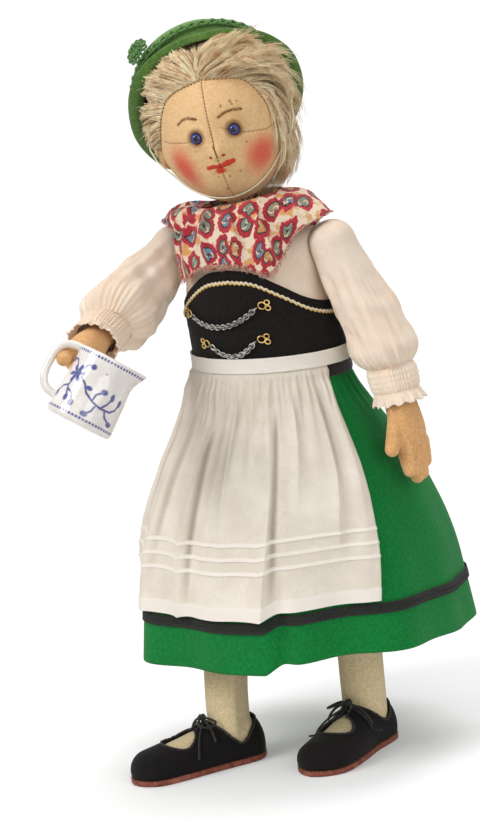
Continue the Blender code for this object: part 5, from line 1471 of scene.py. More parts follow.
for spot, deep, start, end in PLAITS:
    aside = across - spot - 0.004 * np.sin(below / 17.0 + 40.0 * spot)
    run = ease(below, start, start + 25.0) * (1.0 - ease(below, end - 45.0, end))
    folds += deep * run * np.exp(np.where(aside < 0.0, aside / 0.042, -aside / 0.011))
    # Painted shade: beside each plait a darker line runs down the crease, fading out at both ends.
    crease = APRON_WIDE * (spot + 0.016)
    low, high = BAND_LOW - end + 30.0, BAND_LOW - start
    crease_shade = stroke(u, v, (crease, high), (crease, low), 0.2, 3.4)
    crease_shade = crease_shade * v.step(low, low + 60.0) * v.step(high, high - 20.0)
    apron_cotton.paint(crease_shade * (0.095 * deep), "8f8070")
folds += 0.5 * (ripple(across * 150.0, height * 0.6, 71, 40.0) + 1.0)
ridges = np.zeros(across.shape)
for tuck in TUCKS:
    ridges += 1.1 * ease(height, tuck - 0.3, tuck + 0.2) * (1.0 - ease(height, tuck + 0.4, tuck + TUCK_DEEP))
ridges += 0.5 * (1.0 - ease(height, APRON_HEM + 8.6, APRON_HEM + 9.4))
ridges += 0.5 * (1.0 - ease(np.minimum(across, 1.0 - across), 0.012, 0.016))
off = 2.0 + 1.6 * ease(height, 236.0, 254.0) + folds * (1.0 - 0.55 * ease(height, 252.0, 261.0)) + ridges
tucked = ease(height, BAND_LOW - 3.2, BAND_LOW + 0.4)[..., None]
apron_points = (1.0 - tucked) * on_skirt(height, angle, off) + tucked * on_torso(height, angle, 4.75)
tuck_face = v.step(APRON_HEM - 1.0, APRON_HEM - 0.5) * v.step(APRON_HEM + 9.6, APRON_HEM + 8.8)
for tuck in TUCKS:
    tuck_face = tuck_face.most(v.step(tuck - 0.6, tuck - 0.2) * v.step(tuck + 2.9, tuck + 2.2))
tuck_face = tuck_face.most(v.step(400.0, 420.0))
apron_cotton.paint(tuck_face * 0.8, "f6eee4")
apron = skin("gathered_apron", apron_points, apron_cotton.material, (across * APRON_WIDE, height), thick=0.7)
apron_area = area_of(apron)
wear(apron, "torso", "apron_cotton", "apron")
print("apron cloth:", round(apron_area * 1e4), "cm2")

sewn = [even_steps(apron_points[np.argmin(np.abs(heights - height))], 2.2)
        for height in (APRON_HEM + 8.4, *(tuck + TUCK_DEEP for tuck in TUCKS))]
spots, ways = (np.concatenate(rows) for rows in zip(*sewn))
white_thread = mottled("white_thread", "d9cfbf", "f7f1e6", 2500.0, Roughness=0.8)
apron_seam = repeated("apron_stitches", stitch, spots, ways, np.cross(ways, UP), white_thread, size=0.75,
                      wobble=0.2, seed=9)
wear(apron_seam, "torso", "apron_cotton")

BUTTON_ROWS = [(0.0, 1.5), (2.6, 1.5), (3.2, 1.9), (3.9, 1.9), (4.4, 1.2), (4.4, 0.5), (3.7, 0.0), (0.0, 0.0)]
turn_about, step = np.meshgrid(np.linspace(0.0, math.tau, 49), np.arange(len(BUTTON_ROWS)))
profile = np.array(BUTTON_ROWS)
button_spot = on_torso(np.array(268.7), np.array(math.pi), 6.7)
radius, lift = profile[step, 0], profile[step, 1]
button_points = np.stack((radius * np.cos(turn_about), lift, radius * np.sin(turn_about)), -1) + button_spot
shell = mottled("shell_button", "d8d0bd", "f7f3e8", 300.0, 4.0, 0.6, (0.3, 0.7), Roughness=0.25,
                Coat_Weight=0.4)
button = skin("shell_apron_button", button_points, shell)
wear(button, "torso", "button", "apron_button")

# %% [markdown]
# Arms and legs are stuffed felt tubes. A limb and its thumb or foot are laid as separate skins first and then
# fused by a voxel remesh, which closes them into one body with a soft join, as felt pulled over stuffing has.
# The open left hand has four sewn fingers; the right one is a closed mitten with the lines between its
# fingers pressed in.
# %% Stuffed limbs
def capped(at, first, last, caps):
    """1 along a form, falling to 0 in a quarter round over the given caps at its two ends."""
    shrink = np.ones(at.shape)
    for end, cap in ((at - first, caps[0]), (last - at, caps[1])):
        shrink *= np.sqrt(np.clip(1.0 - np.clip((cap - end) / cap, 0.0, 1.0) ** 2, 0.0, 1.0))
    return shrink


def stuffed(rows, caps, columns, levels, swell=0.0):
    """Sections of a stuffed form, rounded at both ends: across, along, place on its length, and turn."""
    first, last = rows[0][0] - swell, rows[-1][0] + swell
    turn_about, t = grid(columns, levels, (0.0, math.tau), (0.0, math.pi))
    at = first + (last - first) * (1.0 - np.cos(t)) / 2.0
    row = eased(rows, at)
    shrink = capped(at, first, last, caps)
    across = row[..., 1] + np.cos(turn_about) * (row[..., 3] + swell) * shrink
    along = row[..., 2] + np.sin(turn_about) * (row[..., 4] + swell) * shrink
    return across, along, at, turn_about


def fused(name, skins, voxel, finish):
    """Several closed skins made one body by a voxel remesh, then smoothed."""
    mesh = bpy.data.meshes.new(name)
    with edited(mesh) as bm:
        for part in skins:
            bm.from_mesh(part.data)
            bpy.data.objects.remove(part)
        bmesh.ops.recalc_face_normals(bm, faces=bm.faces[:])
    mesh.materials.append(finish)
    body = stood(name, mesh)
    melt = body.modifiers.new("melt", "REMESH")
    melt.mode = "VOXEL"
    melt.voxel_size = voxel * MM
    ironed = body.modifiers.new("ironed", "SMOOTH")
    ironed.iterations = 3
    ironed.factor = 0.5
    return applied(body)


def reshape(piece, place, change):
    """Move a piece's points by a rule in the millimetres of its own frame."""
    flat = np.zeros(len(piece.data.vertices) * 3, np.float32)
    piece.data.vertices.foreach_get("co", flat)
    local = in_frame(flat.reshape(-1, 3) / MM - STAND, place)
    moved = world_points(change(local), place)
    piece.data.vertices.foreach_set("co", moved.astype(np.float32).ravel())
    piece.data.update()


ARM_ROWS = [
    (-13.5, 11.0, 0.0, 12.0, 13.0), (0.0, 11.5, 0.0, 12.5, 13.5), (30.0, 19.0, -2.0, 12.5, 13.0),
    (60.0, 28.0, -2.0, 12.0, 12.5), (88.0, 34.5, 2.0, 10.5, 11.0), (102.0, 37.0, 5.0, 9.5, 10.5),
]
HAND_ROWS = {
    LEFT: [(112.0, 38.5, 6.0, 9.5, 13.0), (127.0, 39.7, 6.0, 9.3, 14.4), (140.0, 40.6, 7.0, 7.2, 13.4)],
    RIGHT: [(110.0, 38.5, 6.0, 10.5, 13.0), (122.0, 40.0, 7.0, 12.0, 15.0), (135.0, 40.5, 7.0, 9.0, 12.5)],
}
THUMB_ROOT = {LEFT: np.array((38.0, 3.5, 104.0)), RIGHT: np.array((41.5, 10.0, 112.0))}
THUMB_TIP = {LEFT: np.array((37.5, 29.5, 139.0)), RIGHT: np.array((44.5, 27.0, 153.0))}
THUMB_ROWS = [(0.0, 6.0, 6.5), (0.32, 6.2, 6.5), (0.69, 5.3, 5.3), (1.0, 4.6, 4.6)]
FINGER_ROWS = [(0.0, 6.4, 3.8), (0.55, 5.8, 3.9), (1.0, 4.6, 3.5)]
FINGERS = [((40.4, -3.9, 132.0), (41.5, -0.7, 154.5)), ((40.4, 2.9, 132.0), (41.5, 5.2, 161.0)),
           ((40.4, 9.7, 132.0), (41.5, 11.3, 162.0)), ((40.4, 16.3, 132.0), (41.5, 17.5, 156.5))]
GROOVE_FROM, GROOVE_DEEP = 117.0, 1.7
hand_felt = felt("hand_felt", "eab981", "d09c66", stain="c6905c", sheen=0.12).material


def finger_grooves(points):
    """Press the three lines between the fingers into the closed right hand."""
    end = HAND_ROWS[RIGHT][-1][0]
    row = eased(ARM_ROWS + HAND_ROWS[RIGHT], points[:, 2])
    lie = (points[:, 1] - row[:, 2]) / row[:, 4]
    thumb_side = ease(lie, 0.72, 0.9) * (1.0 - ease(points[:, 2], end - 10.0, end))
    start = ease(points[:, 2], GROOVE_FROM, GROOVE_FROM + 9.0) * (1.0 - thumb_side)
    press = sum(bell(lie, middle, 0.085) for middle in (-0.46, 0.0, 0.46))
    away = -points[:, 0] - row[:, 1]
    moved = points.copy()
    moved[:, 0] += np.sign(away) * np.minimum(GROOVE_DEEP * press * start, np.abs(away) * 0.75)
    moved[:, 2] -= 3.0 * press * ease(points[:, 2], end - 6.0, end)
    moved[:, 2] -= 2.2 * ease(np.abs(lie), 0.55, 0.95) * ease(points[:, 2], end - 9.0, end)
    return moved


def tube_between(root, tip, rows, caps, side):
    """A stuffed finger from root to tip in the arm's frame, its rows given by the share of its length."""
    reach = np.subtract(tip, root)
    long = np.linalg.norm(reach)
    way = reach / long
    first = np.array((1.0, 0.0, 0.0)) - way * way[0]
    first /= np.linalg.norm(first)
    across, along, at, _ = stuffed([(share * long, 0, 0, *half) for share, *half in rows], caps, 40, 50)
    points = root + at[..., None] * way + across[..., None] * first + along[..., None] * np.cross(way, first)
    return skin("finger", points * (side, 1.0, 1.0), hand_felt, None, ARM[side], flip=side == RIGHT)


for side, word in SIDES.items():
    across, along, at, _ = stuffed(ARM_ROWS + HAND_ROWS[side], (11.0, 9.0), 72, 120)
    points = np.stack((side * np.maximum(across, GAP), along, at), -1)
    limb = skin("limb", points, hand_felt, None, ARM[side], flip=side == RIGHT)
    skins = [limb, tube_between(THUMB_ROOT[side], THUMB_TIP[side], THUMB_ROWS, (5.0, 5.0), side)]
    if side == LEFT:
        skins += [tube_between(root, tip, FINGER_ROWS, (4.0, 4.0), side) for root, tip in FINGERS]
    arm = fused(word + "_felt_arm", skins, 0.75, hand_felt)
    if side == RIGHT:
        reshape(arm, ARM[side], finger_grooves)
    wear(arm, word + "_arm", "flesh_felt", word + "_arm")
    print(word, "arm:", len(arm.data.polygons), "faces")

# %% [markdown]
# The sleeves are full and soft: long creases run down from the shoulder, and the cloth is drawn into fine
# gathers where the cuff takes it in. The cuff is shirred, with rows of drawn thread round it, and ends in a
# small frill.
# %% Sleeves and cuffs
SLEEVE_TOP, SLEEVE_END, SLEEVE_CAP = -17.0, 86.0, 13.0
SLEEVE_RADII = [(SLEEVE_TOP, 14.0, 15.0), (0, 15.0, 17.0), (25, 17.0, 21.0), (50, 20.5, 25.5),
                (70, 22.5, 27.0), (79, 20.0, 22.5), (84.2, 15.5, 16.0)]
CUFF_RADII = [(84.6, 15.5, 15.5), (88, 16.4, 16.4), (97, 16.0, 16.0), (100, 15.0, 15.0), (103, 16.2, 16.2),
              (106.5, 17.2, 17.2)]


def tube_rows(radii):
    """Section rows that follow the arm's middle line with their own radii."""
    middles = eased(ARM_ROWS + HAND_ROWS[LEFT], [row[0] for row in radii])
    return [(row[0], middle[1], middle[2], row[1], row[2]) for row, middle in zip(radii, middles)]


for side, word in SIDES.items():
    seed = 80 + side
    rows = tube_rows(SLEEVE_RADII)
    turn_about, t = grid(170, 110, (0.0, math.tau), (0.0, 1.0))
    at = SLEEVE_TOP + (SLEEVE_END - SLEEVE_TOP) * (1.0 - np.cos(t * math.pi / 2)) ** 0.55
    row = eased(rows, at)
    top = np.clip((SLEEVE_CAP - (at - SLEEVE_TOP)) / SLEEVE_CAP, 0.0, 1.0)
    shrink = np.sqrt(np.clip(1.0 - top ** 2, 0.0, 1.0))
    round_u, long_v = np.cos(turn_about) * 22.0, np.sin(turn_about) * 22.0
    long_creases = ripple(turn_about * 21.0 + 6.0 * np.sin(turn_about), at * 0.16, seed, 13.0, 2)
    long_creases = long_creases * (1.0 - ease(turn_about, 5.9, 6.28)) * ease(turn_about, 0.0, 0.38)
    gathers = np.cos(34.0 * turn_about + 1.3 * np.sin(3.0 * turn_about)) * ease(at, 58.0, 80.0)
    elbow = ripple(round_u + long_v, at * 1.1 + long_v * 0.7, seed + 5, 27.0, 2) * bell(at, 44.0, 26.0)
    crease = 2.1 * long_creases * ease(at, 6.0, 34.0) + 0.75 * gathers + 1.4 * elbow
    sag = 1.5 * bell(at, 72.0, 9.0) - 3.4 * (side == LEFT) * bell(at, 68.0, 22.0)
    across = row[..., 1] + np.cos(turn_about) * (row[..., 3] * shrink + crease + sag)
    along = row[..., 2] + np.sin(turn_about) * (row[..., 4] * shrink + crease + sag)
    points = np.stack((side * np.maximum(across, GAP), along, at), -1)
    sleeve = skin(word + "_cotton_sleeve", points, blouse_cotton, (turn_about * 22.0, at), ARM[side],
                  flip=side == RIGHT, thick=0.8)
    wear(sleeve, word + "_arm", "blouse_cotton", word + "_sleeve")

    rows = tube_rows(CUFF_RADII)
    turn_about, at = grid(240, 74, (0.0, math.tau), (83.4, 107.6))
    row = eased(rows, at)
    shirr = sum(bell(at, line, 0.7) for line in (86.0, 89.5, 93.0, 96.5, 100.0))
    pleat = np.cos(44.0 * turn_about + 2.0 * np.sin(7.0 * turn_about + side))
    puff = (0.6 * pleat - 0.4 * shirr) * (1.0 - ease(at, 100.0, 103.0))
    flare = 0.9 * np.cos(13.0 * turn_about + 0.8 * np.sin(4.0 * turn_about)) + 0.5 * np.cos(29.0 * turn_about)
    puff = puff + flare * ease(at, 100.5, 106.5) - 1.2 * ease(-at, -85.0, -83.6)
    across = row[..., 1] + np.cos(turn_about) * (row[..., 3] + puff)
    along = row[..., 2] + np.sin(turn_about) * (row[..., 4] + puff)
    dip = at + 0.7 * np.sin(13.0 * turn_about + 1.0) * ease(at, 101.0, 107.0)
    points = np.stack((side * across, along, dip), -1)
    cuff = skin(word + "_shirred_cuff", points, blouse_cotton, (turn_about * 16.0, at), ARM[side],
                flip=side == RIGHT, thick=0.6)
    wear(cuff, word + "_arm", "blouse_cotton", word + "_cuff")

# %% [markdown]
# The legs and feet are one stuffed felt form each, paler than the hands, with a seam down the front and back.
# %% Legs
LEG_ROWS = [(-22, 0.0, 18.5, 20.5), (0, 0.0, 19.0, 21.5), (35, 0.2, 20.0, 21.0), (85, 0.5, 17.5, 18.0),
            (125, 0.77, 15.5, 16.0), (162, 1.0, 15.0, 15.5), (196, 1.02, 14.5, 15.5)]
LEG_TOP_OUT = 19.0
ANKLE_OUT, ANKLE_FORWARD = {LEFT: 19.0, RIGHT: 11.0}, {LEFT: -1.0, RIGHT: 44.0}
FOOT_ROWS = [(0, 0.0, 10.0, 12.5, 17.0), (14, 0.0, 10.0, 14.5, 20.0), (36, 0.0, 10.0, 14.5, 19.0),
             (56, 0.8, 9.0, 16.0, 14.5), (76, 1.0, 8.0, 16.5, 11.5), (94, 0.0, 8.0, 13.0, 9.5)]
SHOE_FELT, SOLE_THICK = 2.0, 4.0
leg_felt = felt("leg_felt", "e0cda8", "c9b389", stain="bfa87e", sheen=0.12).material


def leg_table(side):
    """Leg sections on the line from hip to ankle."""
    out, forward = ANKLE_OUT[side] - LEG_TOP_OUT, ANKLE_FORWARD[side]
    return [(down, LEG_TOP_OUT + out * share, forward * share, wide, deep)
            for down, share, wide, deep in LEG_ROWS]


for side, word in SIDES.items():
    across, along, at, turn_about = stuffed(leg_table(side), (18.0, 6.0), 84, 130)
    seam = 0.5 * (bell(turn_about, math.pi / 2, 0.07) + bell(turn_about, 1.5 * math.pi, 0.07))
    soft = 0.35 * ripple(turn_about * 16.0, at, 90 + side, 30.0, 2) * np.sin(turn_about / 2.0)
    across = across + np.cos(turn_about) * (soft - seam)
    along = along + np.sin(turn_about) * (soft - seam)
    points = np.stack((side * np.maximum(across, GAP), along, at), -1)
    limb = skin("limb", points, leg_felt, None, LEG[side], flip=side == RIGHT)
    across, along, at, _ = stuffed(FOOT_ROWS, (10.0, 12.0), 72, 80)
    points = np.stack((-side * across, at, np.maximum(along, SOLE_THICK + GAP)), -1)
    foot = skin("foot", points, leg_felt, None, FOOT[side])
    leg = fused(word + "_felt_leg", [limb, foot], 1.3, leg_felt)
    wear(leg, word + "_leg", "flesh_felt", word + "_leg")
    print(word, "leg:", len(leg.data.polygons), "faces")

# %% [markdown]
# A shoe's upper is cut from one piece of black felt: open at the ankle, with a wide round opening over the
# instep and a slit between its two flaps, which a lace draws together. The felt skin of the foot is laid a
# little larger, the openings are cut out of it by a rule on the plan, and the cut edge is moved onto the
# exact line. Then the felt gets its thickness and a narrow binding follows the edge.
# %% Shoes
shoe_felt = felt("shoe_felt", "141110", "080606", pile=0.0005, stain="1a1614", sheen=0.03)
KEYHOLE = ((0.0, 60.5), 12.8, 11.5)
SLIT_HALF, SLIT_FROM = 2.2, 30.0
ANKLE_DOWN, NUDGE = 178.0, 0.05


def ankle_on_foot(side):
    """Where the leg goes through the shoe, on the foot's plan."""
    row = eased(leg_table(side), ANKLE_DOWN)
    spot = np.array((side * row[1], row[2], ANKLE_DOWN)) @ LEG[side][:3, :3].T + LEG[side][:3, 3]
    return in_frame(spot, FOOT[side])[:2]


def opening(points, side):
    """Below zero where the upper is cut away, by the plan of the foot."""
    x, y, z = points[..., 0], points[..., 1], points[..., 2]
    ankle = ankle_on_foot(side)
    round_leg = (np.hypot((x - ankle[0]) / 16.2, (y - ankle[1]) / 17.2) - 1.0) * 16.5
    (hole_x, hole_y), wide, long = KEYHOLE
    hole = (np.hypot((x - hole_x) / wide, (y - hole_y) / long) - 1.0) * 12.0
    slit = np.maximum(np.abs(x) - SLIT_HALF, np.maximum(SLIT_FROM - y, y - hole_y))
    low = np.maximum(14.0 - z, 0.0) * 3.0
    return np.minimum(np.minimum(round_leg, hole), slit) + low


for side, word in SIDES.items():
    place = FOOT[side]
    across, along, at, _ = stuffed(FOOT_ROWS, (11.0, 13.0), 150, 150, SHOE_FELT + 0.25)
    points = np.stack((-side * across, at, np.maximum(along, SOLE_THICK + GAP)), -1)
    quads = quads_of(points)
    quads = quads[(opening(points, side).ravel()[quads] > 0.0).any(1)]
    flat = world_points(points, place).reshape(-1, 3)
    upper = new_piece(word + "_felt_shoe", flat, quads, shoe_felt.material)
    with edited(upper.data) as bm:
        bmesh.ops.delete(bm, geom=[vert for vert in bm.verts if not vert.link_faces], context="VERTS")
        bm.verts.index_update()
        rim = [vert for vert in bm.verts if vert.is_boundary]
        spots = in_frame(np.array([vert.co for vert in rim]) / MM - STAND, place)
        for _ in range(8):
            here = opening(spots, side)
            slope_x = (opening(spots + (NUDGE, 0, 0), side) - here) / NUDGE
            slope_y = (opening(spots + (0, NUDGE, 0), side) - here) / NUDGE
            steep = np.maximum(slope_x ** 2 + slope_y ** 2, 0.2)
            step = np.clip(here / steep, -0.6, 0.6)
            spots[:, 0] -= step * slope_x
            spots[:, 1] -= step * slope_y
        rim_spots = world_points(spots, place)
        for vert, spot in zip(rim, rim_spots):
            vert.co = spot
        order = {vert.index: k for k, vert in enumerate(rim)}
        rim_edges = [[order[vert.index] for vert in edge.verts] for edge in bm.edges if edge.is_boundary]
        bmesh.ops.recalc_face_normals(bm, faces=bm.faces[:])
    thicken(smoothed(upper), 1.7)
    wear(upper, word + "_leg", "shoe_felt", word + "_shoe")
    binding_mesh = bare_mesh("binding", rim_spots, rim_edges, width=np.ones(len(rim)))
    binding = thread_along.run(word + "_shoe_binding", binding_mesh, Radius=0.8 * MM, Tip=1.0, Sides=6,
                               Finish=black_yarn)
    wear(binding, word + "_leg", "shoe_felt")
    print(word, "shoe:", len(upper.data.polygons), "faces, edge", len(rim_edges))

# %% [markdown]
# The soles are single leather cut to the foot's plan, with worn rounded edges and a row of stitches near the
# edge.
# %% Soles
sole_leather = Finish("sole_leather", Specular_IOR_Level=0.35)
where = sole_leather.place()
hide = sole_leather.noise(where, 240.0, 5.0, 0.65)
scuff = sole_leather.noise(where, 45.0, 4.0, 0.6)
sole_leather.paint(hide.step(0.35, 0.68), "8f4a38", "5e2a20")
sole_leather.paint(scuff.step(0.52, 0.7) * 0.7, "a9705a")
sole_leather.feed(Roughness=hide * 0.3 + 0.45)
sole_leather.bump(hide, 0.0004)
SOLE_SWELL = SHOE_FELT + 0.6
SOLE_STEPS = [(None, 0.0), (1.2, 0.0), (0.35, 0.35), (0.0, 1.0), (0.0, 3.0), (0.35, 3.7), (1.1, 4.0),
              (None, 4.0)]
for side, word in SIDES.items():
    first, last = -SOLE_SWELL, FOOT_ROWS[-1][0] + SOLE_SWELL
    middle, half_long = (first + last) / 2.0, (last - first) / 2.0
    turn_about = np.linspace(0.0, math.tau, 161)
    at = middle - half_long * np.cos(turn_about)
    row = eased(FOOT_ROWS, at)
    half = (row[:, 3] + SOLE_SWELL) * capped(at, first, last, (13.0, 15.0))
    rows = []
    for inset, height in SOLE_STEPS:
        drawn = 0.0 if inset is None else 1.0
        x = row[:, 1] + np.sign(np.sin(turn_about)) * np.maximum(half - (inset or 0.0), 0.0) * drawn
        y = middle - (half_long - (inset or 0.0)) * np.cos(turn_about)
        rows.append(np.stack((-side * x, y, np.full(y.shape, height)), -1))
    sole = skin(word + "_leather_sole", np.array(rows), sole_leather.material, None, FOOT[side])
    with edited(sole.data) as bm:
        bmesh.ops.remove_doubles(bm, verts=bm.verts[:], dist=2e-6)
        bmesh.ops.recalc_face_normals(bm, faces=bm.faces[:])
    wear(sole, word + "_leg", "sole_leather", word + "_sole")
    rim_line = np.array(rows[3])
    rim_line[:, 2] = SOLE_THICK - 0.1
    spots, ways = even_steps(rim_line, 3.0)
    welt = repeated(word + "_sole_stitches", stitch, spots, ways, np.tile(UP, (len(spots), 1)), brown_thread,
                    FOOT[side], wobble=0.2, seed=3)
    wear(welt, word + "_leg", "sole_leather")
print("soles: 2")

# %% [markdown]
# A thin waxed cord draws the two flaps together over the instep and is tied in a bow: one loop, a knot, and
# two free ends that lie over the shoe. Each of these is a thread along a path, and the ends are cords.
# %% Laces
for side, word in SIDES.items():
    place = FOOT[side]
    bend = np.radians(np.linspace(-62.0, 62.0, 21))
    over = np.stack((19.4 * np.sin(bend), np.full(bend.shape, 41.5), 10.0 + 23.4 * np.cos(bend)), -1)
    lace = threads(word + "_lace_across", [over], black_yarn, place, radius=0.9, sides=8)
    wear(lace, word + "_leg", "black_braid", word + "_lace")
    lies = np.linspace(0.0, math.tau, 41)
    knot_lines = [np.stack((2.0 * np.cos(lies), 41.5 + 2.4 * np.sin(lies) * np.cos(turn),
                            34.0 + 1.5 * np.sin(lies) * math.sin(turn) + 0.6), -1)
                  for turn in (0.0, 1.2, 2.2)]
    knot = threads(word + "_lace_knot", [line[:-1] for line in knot_lines], black_yarn, place, radius=0.85,
                   sides=7, closed=True)
    wear(knot, word + "_leg", "black_braid")
    t = np.linspace(0.0, 1.0, 33)
    loop = np.stack((side * (1.0 + 13.0 * np.sin(math.pi * t)), 43.0 + 6.0 * np.sin(math.tau * t),
                     34.6 - 3.0 * np.sin(math.pi * t) + 0.6 * np.cos(math.tau * t)), -1)
    bow = threads(word + "_lace_bow", [loop], black_yarn, place, radius=0.8, sides=7)
    wear(bow, word + "_leg", "black_braid")
    for end, aside, ahead in (("outer", -1.0, -0.10), ("inner", 1.0, 0.75)):
        t = np.linspace(0.0, 1.0, 26)
        x = side * aside * (1.5 + 21.6 * t)
        y = 41.5 + ahead * 22.0 * t + 1.5 * np.sin(3.0 * t)
        row = eased(FOOT_ROWS, y)
        round_x = np.clip(np.abs(x - row[:, 1]) / (row[:, 3] + SHOE_FELT + 1.3), 0.0, 0.95)
        z = row[:, 2] + (row[:, 4] + SHOE_FELT + 1.3) * np.sqrt(1.0 - round_x ** 2)
        path = np.stack((x, y, np.where(t < 0.12, np.maximum(z, 34.4 - 14.0 * t), z)), -1)
        tail = threads("%s_lace_%s_end" % (word, end), [path], black_yarn, place, radius=0.75, sides=8)
        wear(tail, word + "_leg", "black_braid")
        world_path = world_points(path, place)
        long = length_of(world_path)
        print(word, end, "lace end:", round(long * 1000), "mm")

# %% [markdown]
# The jug is white glazed porcelain with a drawn-out lip and a strap handle, painted in blue by hand: a dashed
# band at rim and foot, and between them, once on each side, a flower with a trailing vine. The wall is swept
# round its axis, with the lip pulled out of the rim; the painting is set down on a map that runs round the
# wall in millimetres.
# %% Jug
thumb_reach = THUMB_TIP[RIGHT] - THUMB_ROOT[RIGHT]
thumb_way = Vector(thumb_reach * (-1.0, 1.0, 1.0))
thumb_spot = (THUMB_ROOT[RIGHT] + thumb_reach * 0.84) * (-1.0, 1.0, 1.0)
jug_back = -(Matrix(ARM[RIGHT][:3, :3]) @ thumb_way).normalized()
jug_up = (UP - jug_back * UP.dot(jug_back)).normalized()
jug_level = Matrix((jug_back.cross(jug_up), jug_back, jug_up)).transposed()
JUG_LEAN, JUG_BACK = math.radians(30.5), math.radians(-27.0)
jug_turned = jug_level @ Matrix.Rotation(JUG_LEAN, 3, "Y") @ Matrix.Rotation(JUG_BACK, 3, "X")
JUG = frame_of(jug_turned, ARM[RIGHT][:3, :3] @ thumb_spot + ARM[RIGHT][:3, 3])
JUG = JUG @ frame_of(np.eye(3), (26.6, 0.0, -9.0))
JUG_HALF = 24.0
OUTER = [(0.0, -23.4), (17.5, -23.4), (19.6, -24.0), (21.4, -23.9), (22.1, -22.6), (22.4, -20.0),
         (21.6, -8.0), (21.2, 0.0), (20.6, 6.0), (20.3, 10.0), (20.6, 16.0), (21.0, 20.0), (20.8, 23.4)]
INNER = [(20.1, 24.1), (19.2, 23.4), (19.0, 20.0), (18.4, 10.0), (19.0, 0.0), (19.2, -17.0), (18.2, -20.4),
         (0.0, -20.6)]
HANDLE_X, HANDLE_Z, HANDLE_WIDE, HANDLE_HALF, HANDLE_SQUARE = -19.5, 4.0, 15.0, 17.0, 0.7
wall = along_profile(OUTER + INNER, 150)
wall[[0, -1], 0] = 0.0
around, step = np.meshgrid(np.linspace(-math.pi, math.pi, 161), np.arange(len(wall)))
radius, height = wall[step, 0], wall[step, 1]
lift = np.clip((height - JUG_HALF + 16.0) / 16.0, 0.0, 1.0)
pull = 6.0 * lift ** 2 * bell(around, 0.0, 0.38)
jug_points = np.stack((radius * np.cos(around) + pull * (radius > 1.0), radius * np.sin(around), height), -1)
glaze = Finish("porcelain_glaze", Roughness=0.1, Coat_Weight=0.6, Coat_Roughness=0.03)
u, v = glaze.chart()
where = glaze.place()
cloud = glaze.noise(where, 90.0, 3.0, 0.6)
brush = glaze.noise(where, 520.0, 3.0, 0.6)
glaze.paint(cloud.step(0.35, 0.7), "f0ebe6", "e4ddd6")
glaze.paint(blot(u, v, (-27.0, 12.5), 0.6, 0.6, 0.5) * 0.7, "6a6660")
shaky_u, shaky_v = u + brush * 0.9 - 0.45, v + cloud * 0.8 - 0.4
dash = ((shaky_u * (math.tau / 2.3)).wave()).step(-0.55, 0.15)
rim_band = stroke(shaky_u, shaky_v, (-80.0, 20.4), (80.0, 20.4), 0.85, 0.35) * (dash * 0.75 + 0.25)
foot_band = stroke(shaky_u, shaky_v, (-80.0, -19.4), (80.0, -19.4), 0.8, 0.35) * (dash * 0.65 + 0.35)
FLOWER = (-46.0, 5.0)
STEMS = [
    [(-46.0, 3.0), (-47.5, -4.0), (-45.0, -10.0)], [(-47.4, -3.5), (-52.0, -5.5), (-54.5, -10.0)],
    [(-46.3, -6.0), (-42.0, -7.5), (-40.0, -12.0)], [(-49.0, 9.5), (-52.0, 13.5), (-56.0, 13.0)],
    [(-43.0, 9.5), (-40.5, 13.0), (-37.5, 13.2)],
    [(-41.5, 4.0), (-36.5, 1.0), (-33.5, -3.5), (-28.0, -6.5), (-21.5, -8.5), (-14.0, -8.0)],
    [(-28.0, -6.5), (-27.0, -1.5), (-24.0, 1.0)], [(-24.5, -7.8), (-25.5, -12.5), (-28.0, -15.0)],
    [(-21.5, -8.5), (-18.0, -4.5), (-16.5, -0.5)], [(-18.0, -8.3), (-15.5, -12.5), (-11.5, -14.5)],
    [(-14.0, -8.0), (-10.5, -5.5), (-9.0, -1.5)],
]
LEAVES = [
    ((-55.0, -11.0), 1.6, 2.2), ((-39.6, -13.2), 1.5, 2.0), ((-57.0, 12.6), 1.9, 1.4),
    ((-36.6, 13.0), 1.7, 1.5), ((-44.6, -11.4), 1.4, 2.0), ((-23.0, 1.8), 1.9, 1.5),
    ((-28.8, -16.0), 1.9, 1.5), ((-16.2, 0.9), 1.3, 2.1), ((-10.4, -15.2), 2.0, 1.4),
    ((-8.6, -0.2), 1.4, 2.0), ((-33.0, -0.2), 1.8, 1.2), (FLOWER, 1.5, 1.5),
]
painting = rim_band.most(foot_band)
side_u = (shaky_u + 132.0).math("MODULO", 66.0) - 66.0
for stem in STEMS:
    painting = painting.most(strokes(side_u, shaky_v, stem, 0.72, 0.35))
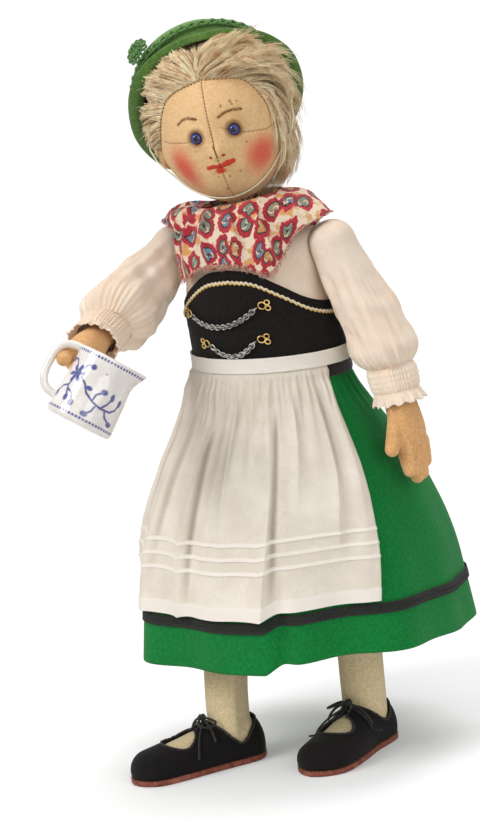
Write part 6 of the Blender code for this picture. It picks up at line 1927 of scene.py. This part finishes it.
for bearing in np.radians(np.arange(15.0, 375.0, 60.0)):
    petal = [(FLOWER[0] + r * math.cos(bearing), FLOWER[1] + r * math.sin(bearing)) for r in (2.6, 5.2)]
    painting = painting.most(strokes(side_u, shaky_v, petal, 1.35, 0.4))
for spot, wide, tall in LEAVES:
    painting = painting.most(blot(side_u, shaky_v, spot, wide * 1.25, tall * 1.25, 0.3))
blue = glaze.mix(brush.step(0.3, 0.7), "161f6e", "3a48a0")
glaze.paint(painting * (brush * 0.3 + 0.8).least(1.0), blue)
jug_chart = around * 21.0, np.where(step < 95, height, 300.0)
jug_body = skin("jug_wall", jug_points, glaze.material, jug_chart, JUG)
bend = np.radians(np.linspace(90.0, 270.0, 61))
out = np.maximum(-np.cos(bend), 0.0) ** HANDLE_SQUARE
rise = np.copysign(np.abs(np.sin(bend)) ** HANDLE_SQUARE, np.sin(bend))
handle_line = np.stack((HANDLE_X - HANDLE_WIDE * out, 0.0 * bend, HANDLE_Z + HANDLE_HALF * rise), -1)
handle = threads("jug_handle", [handle_line], glaze.material, JUG, radius=2.6, sides=20)
handle_chart = handle.data.uv_layers.new(name="chart")
handle_chart.data.foreach_set("uv", np.tile((300.0, 300.0), len(handle.data.loops)))
with edited(jug_body.data) as bm:
    bm.from_mesh(handle.data)
bpy.data.objects.remove(handle)
jug_body.name = "porcelain_jug"
smoothed(jug_body)
wear(jug_body, "jug", "porcelain", "jug")
print("jug:", len(jug_body.data.polygons), "faces")

# %% [markdown]
# Inside the joints lie board discs and steel pins. They are the solids themselves, with finishes of their
# own.
# %% Joint hardware
board = mottled("joint_board", "7d6038", "b39566", 380.0, 5.0, 0.7, (0.35, 0.66), 0.0004, Roughness=0.85)
hardware = {"_disc": board, "_pin": metal("joint_steel", "c4c4c2", "7d7a76")}
for name, node in frame["nodes"].items():
    for ending, finish in hardware.items():
        if name.endswith(ending):
            node.data.materials.clear()
            node.data.materials.append(finish)
shown = [name for name, node in frame["nodes"].items() if not node.hide_render]
print("solids still shown:", sorted(shown))
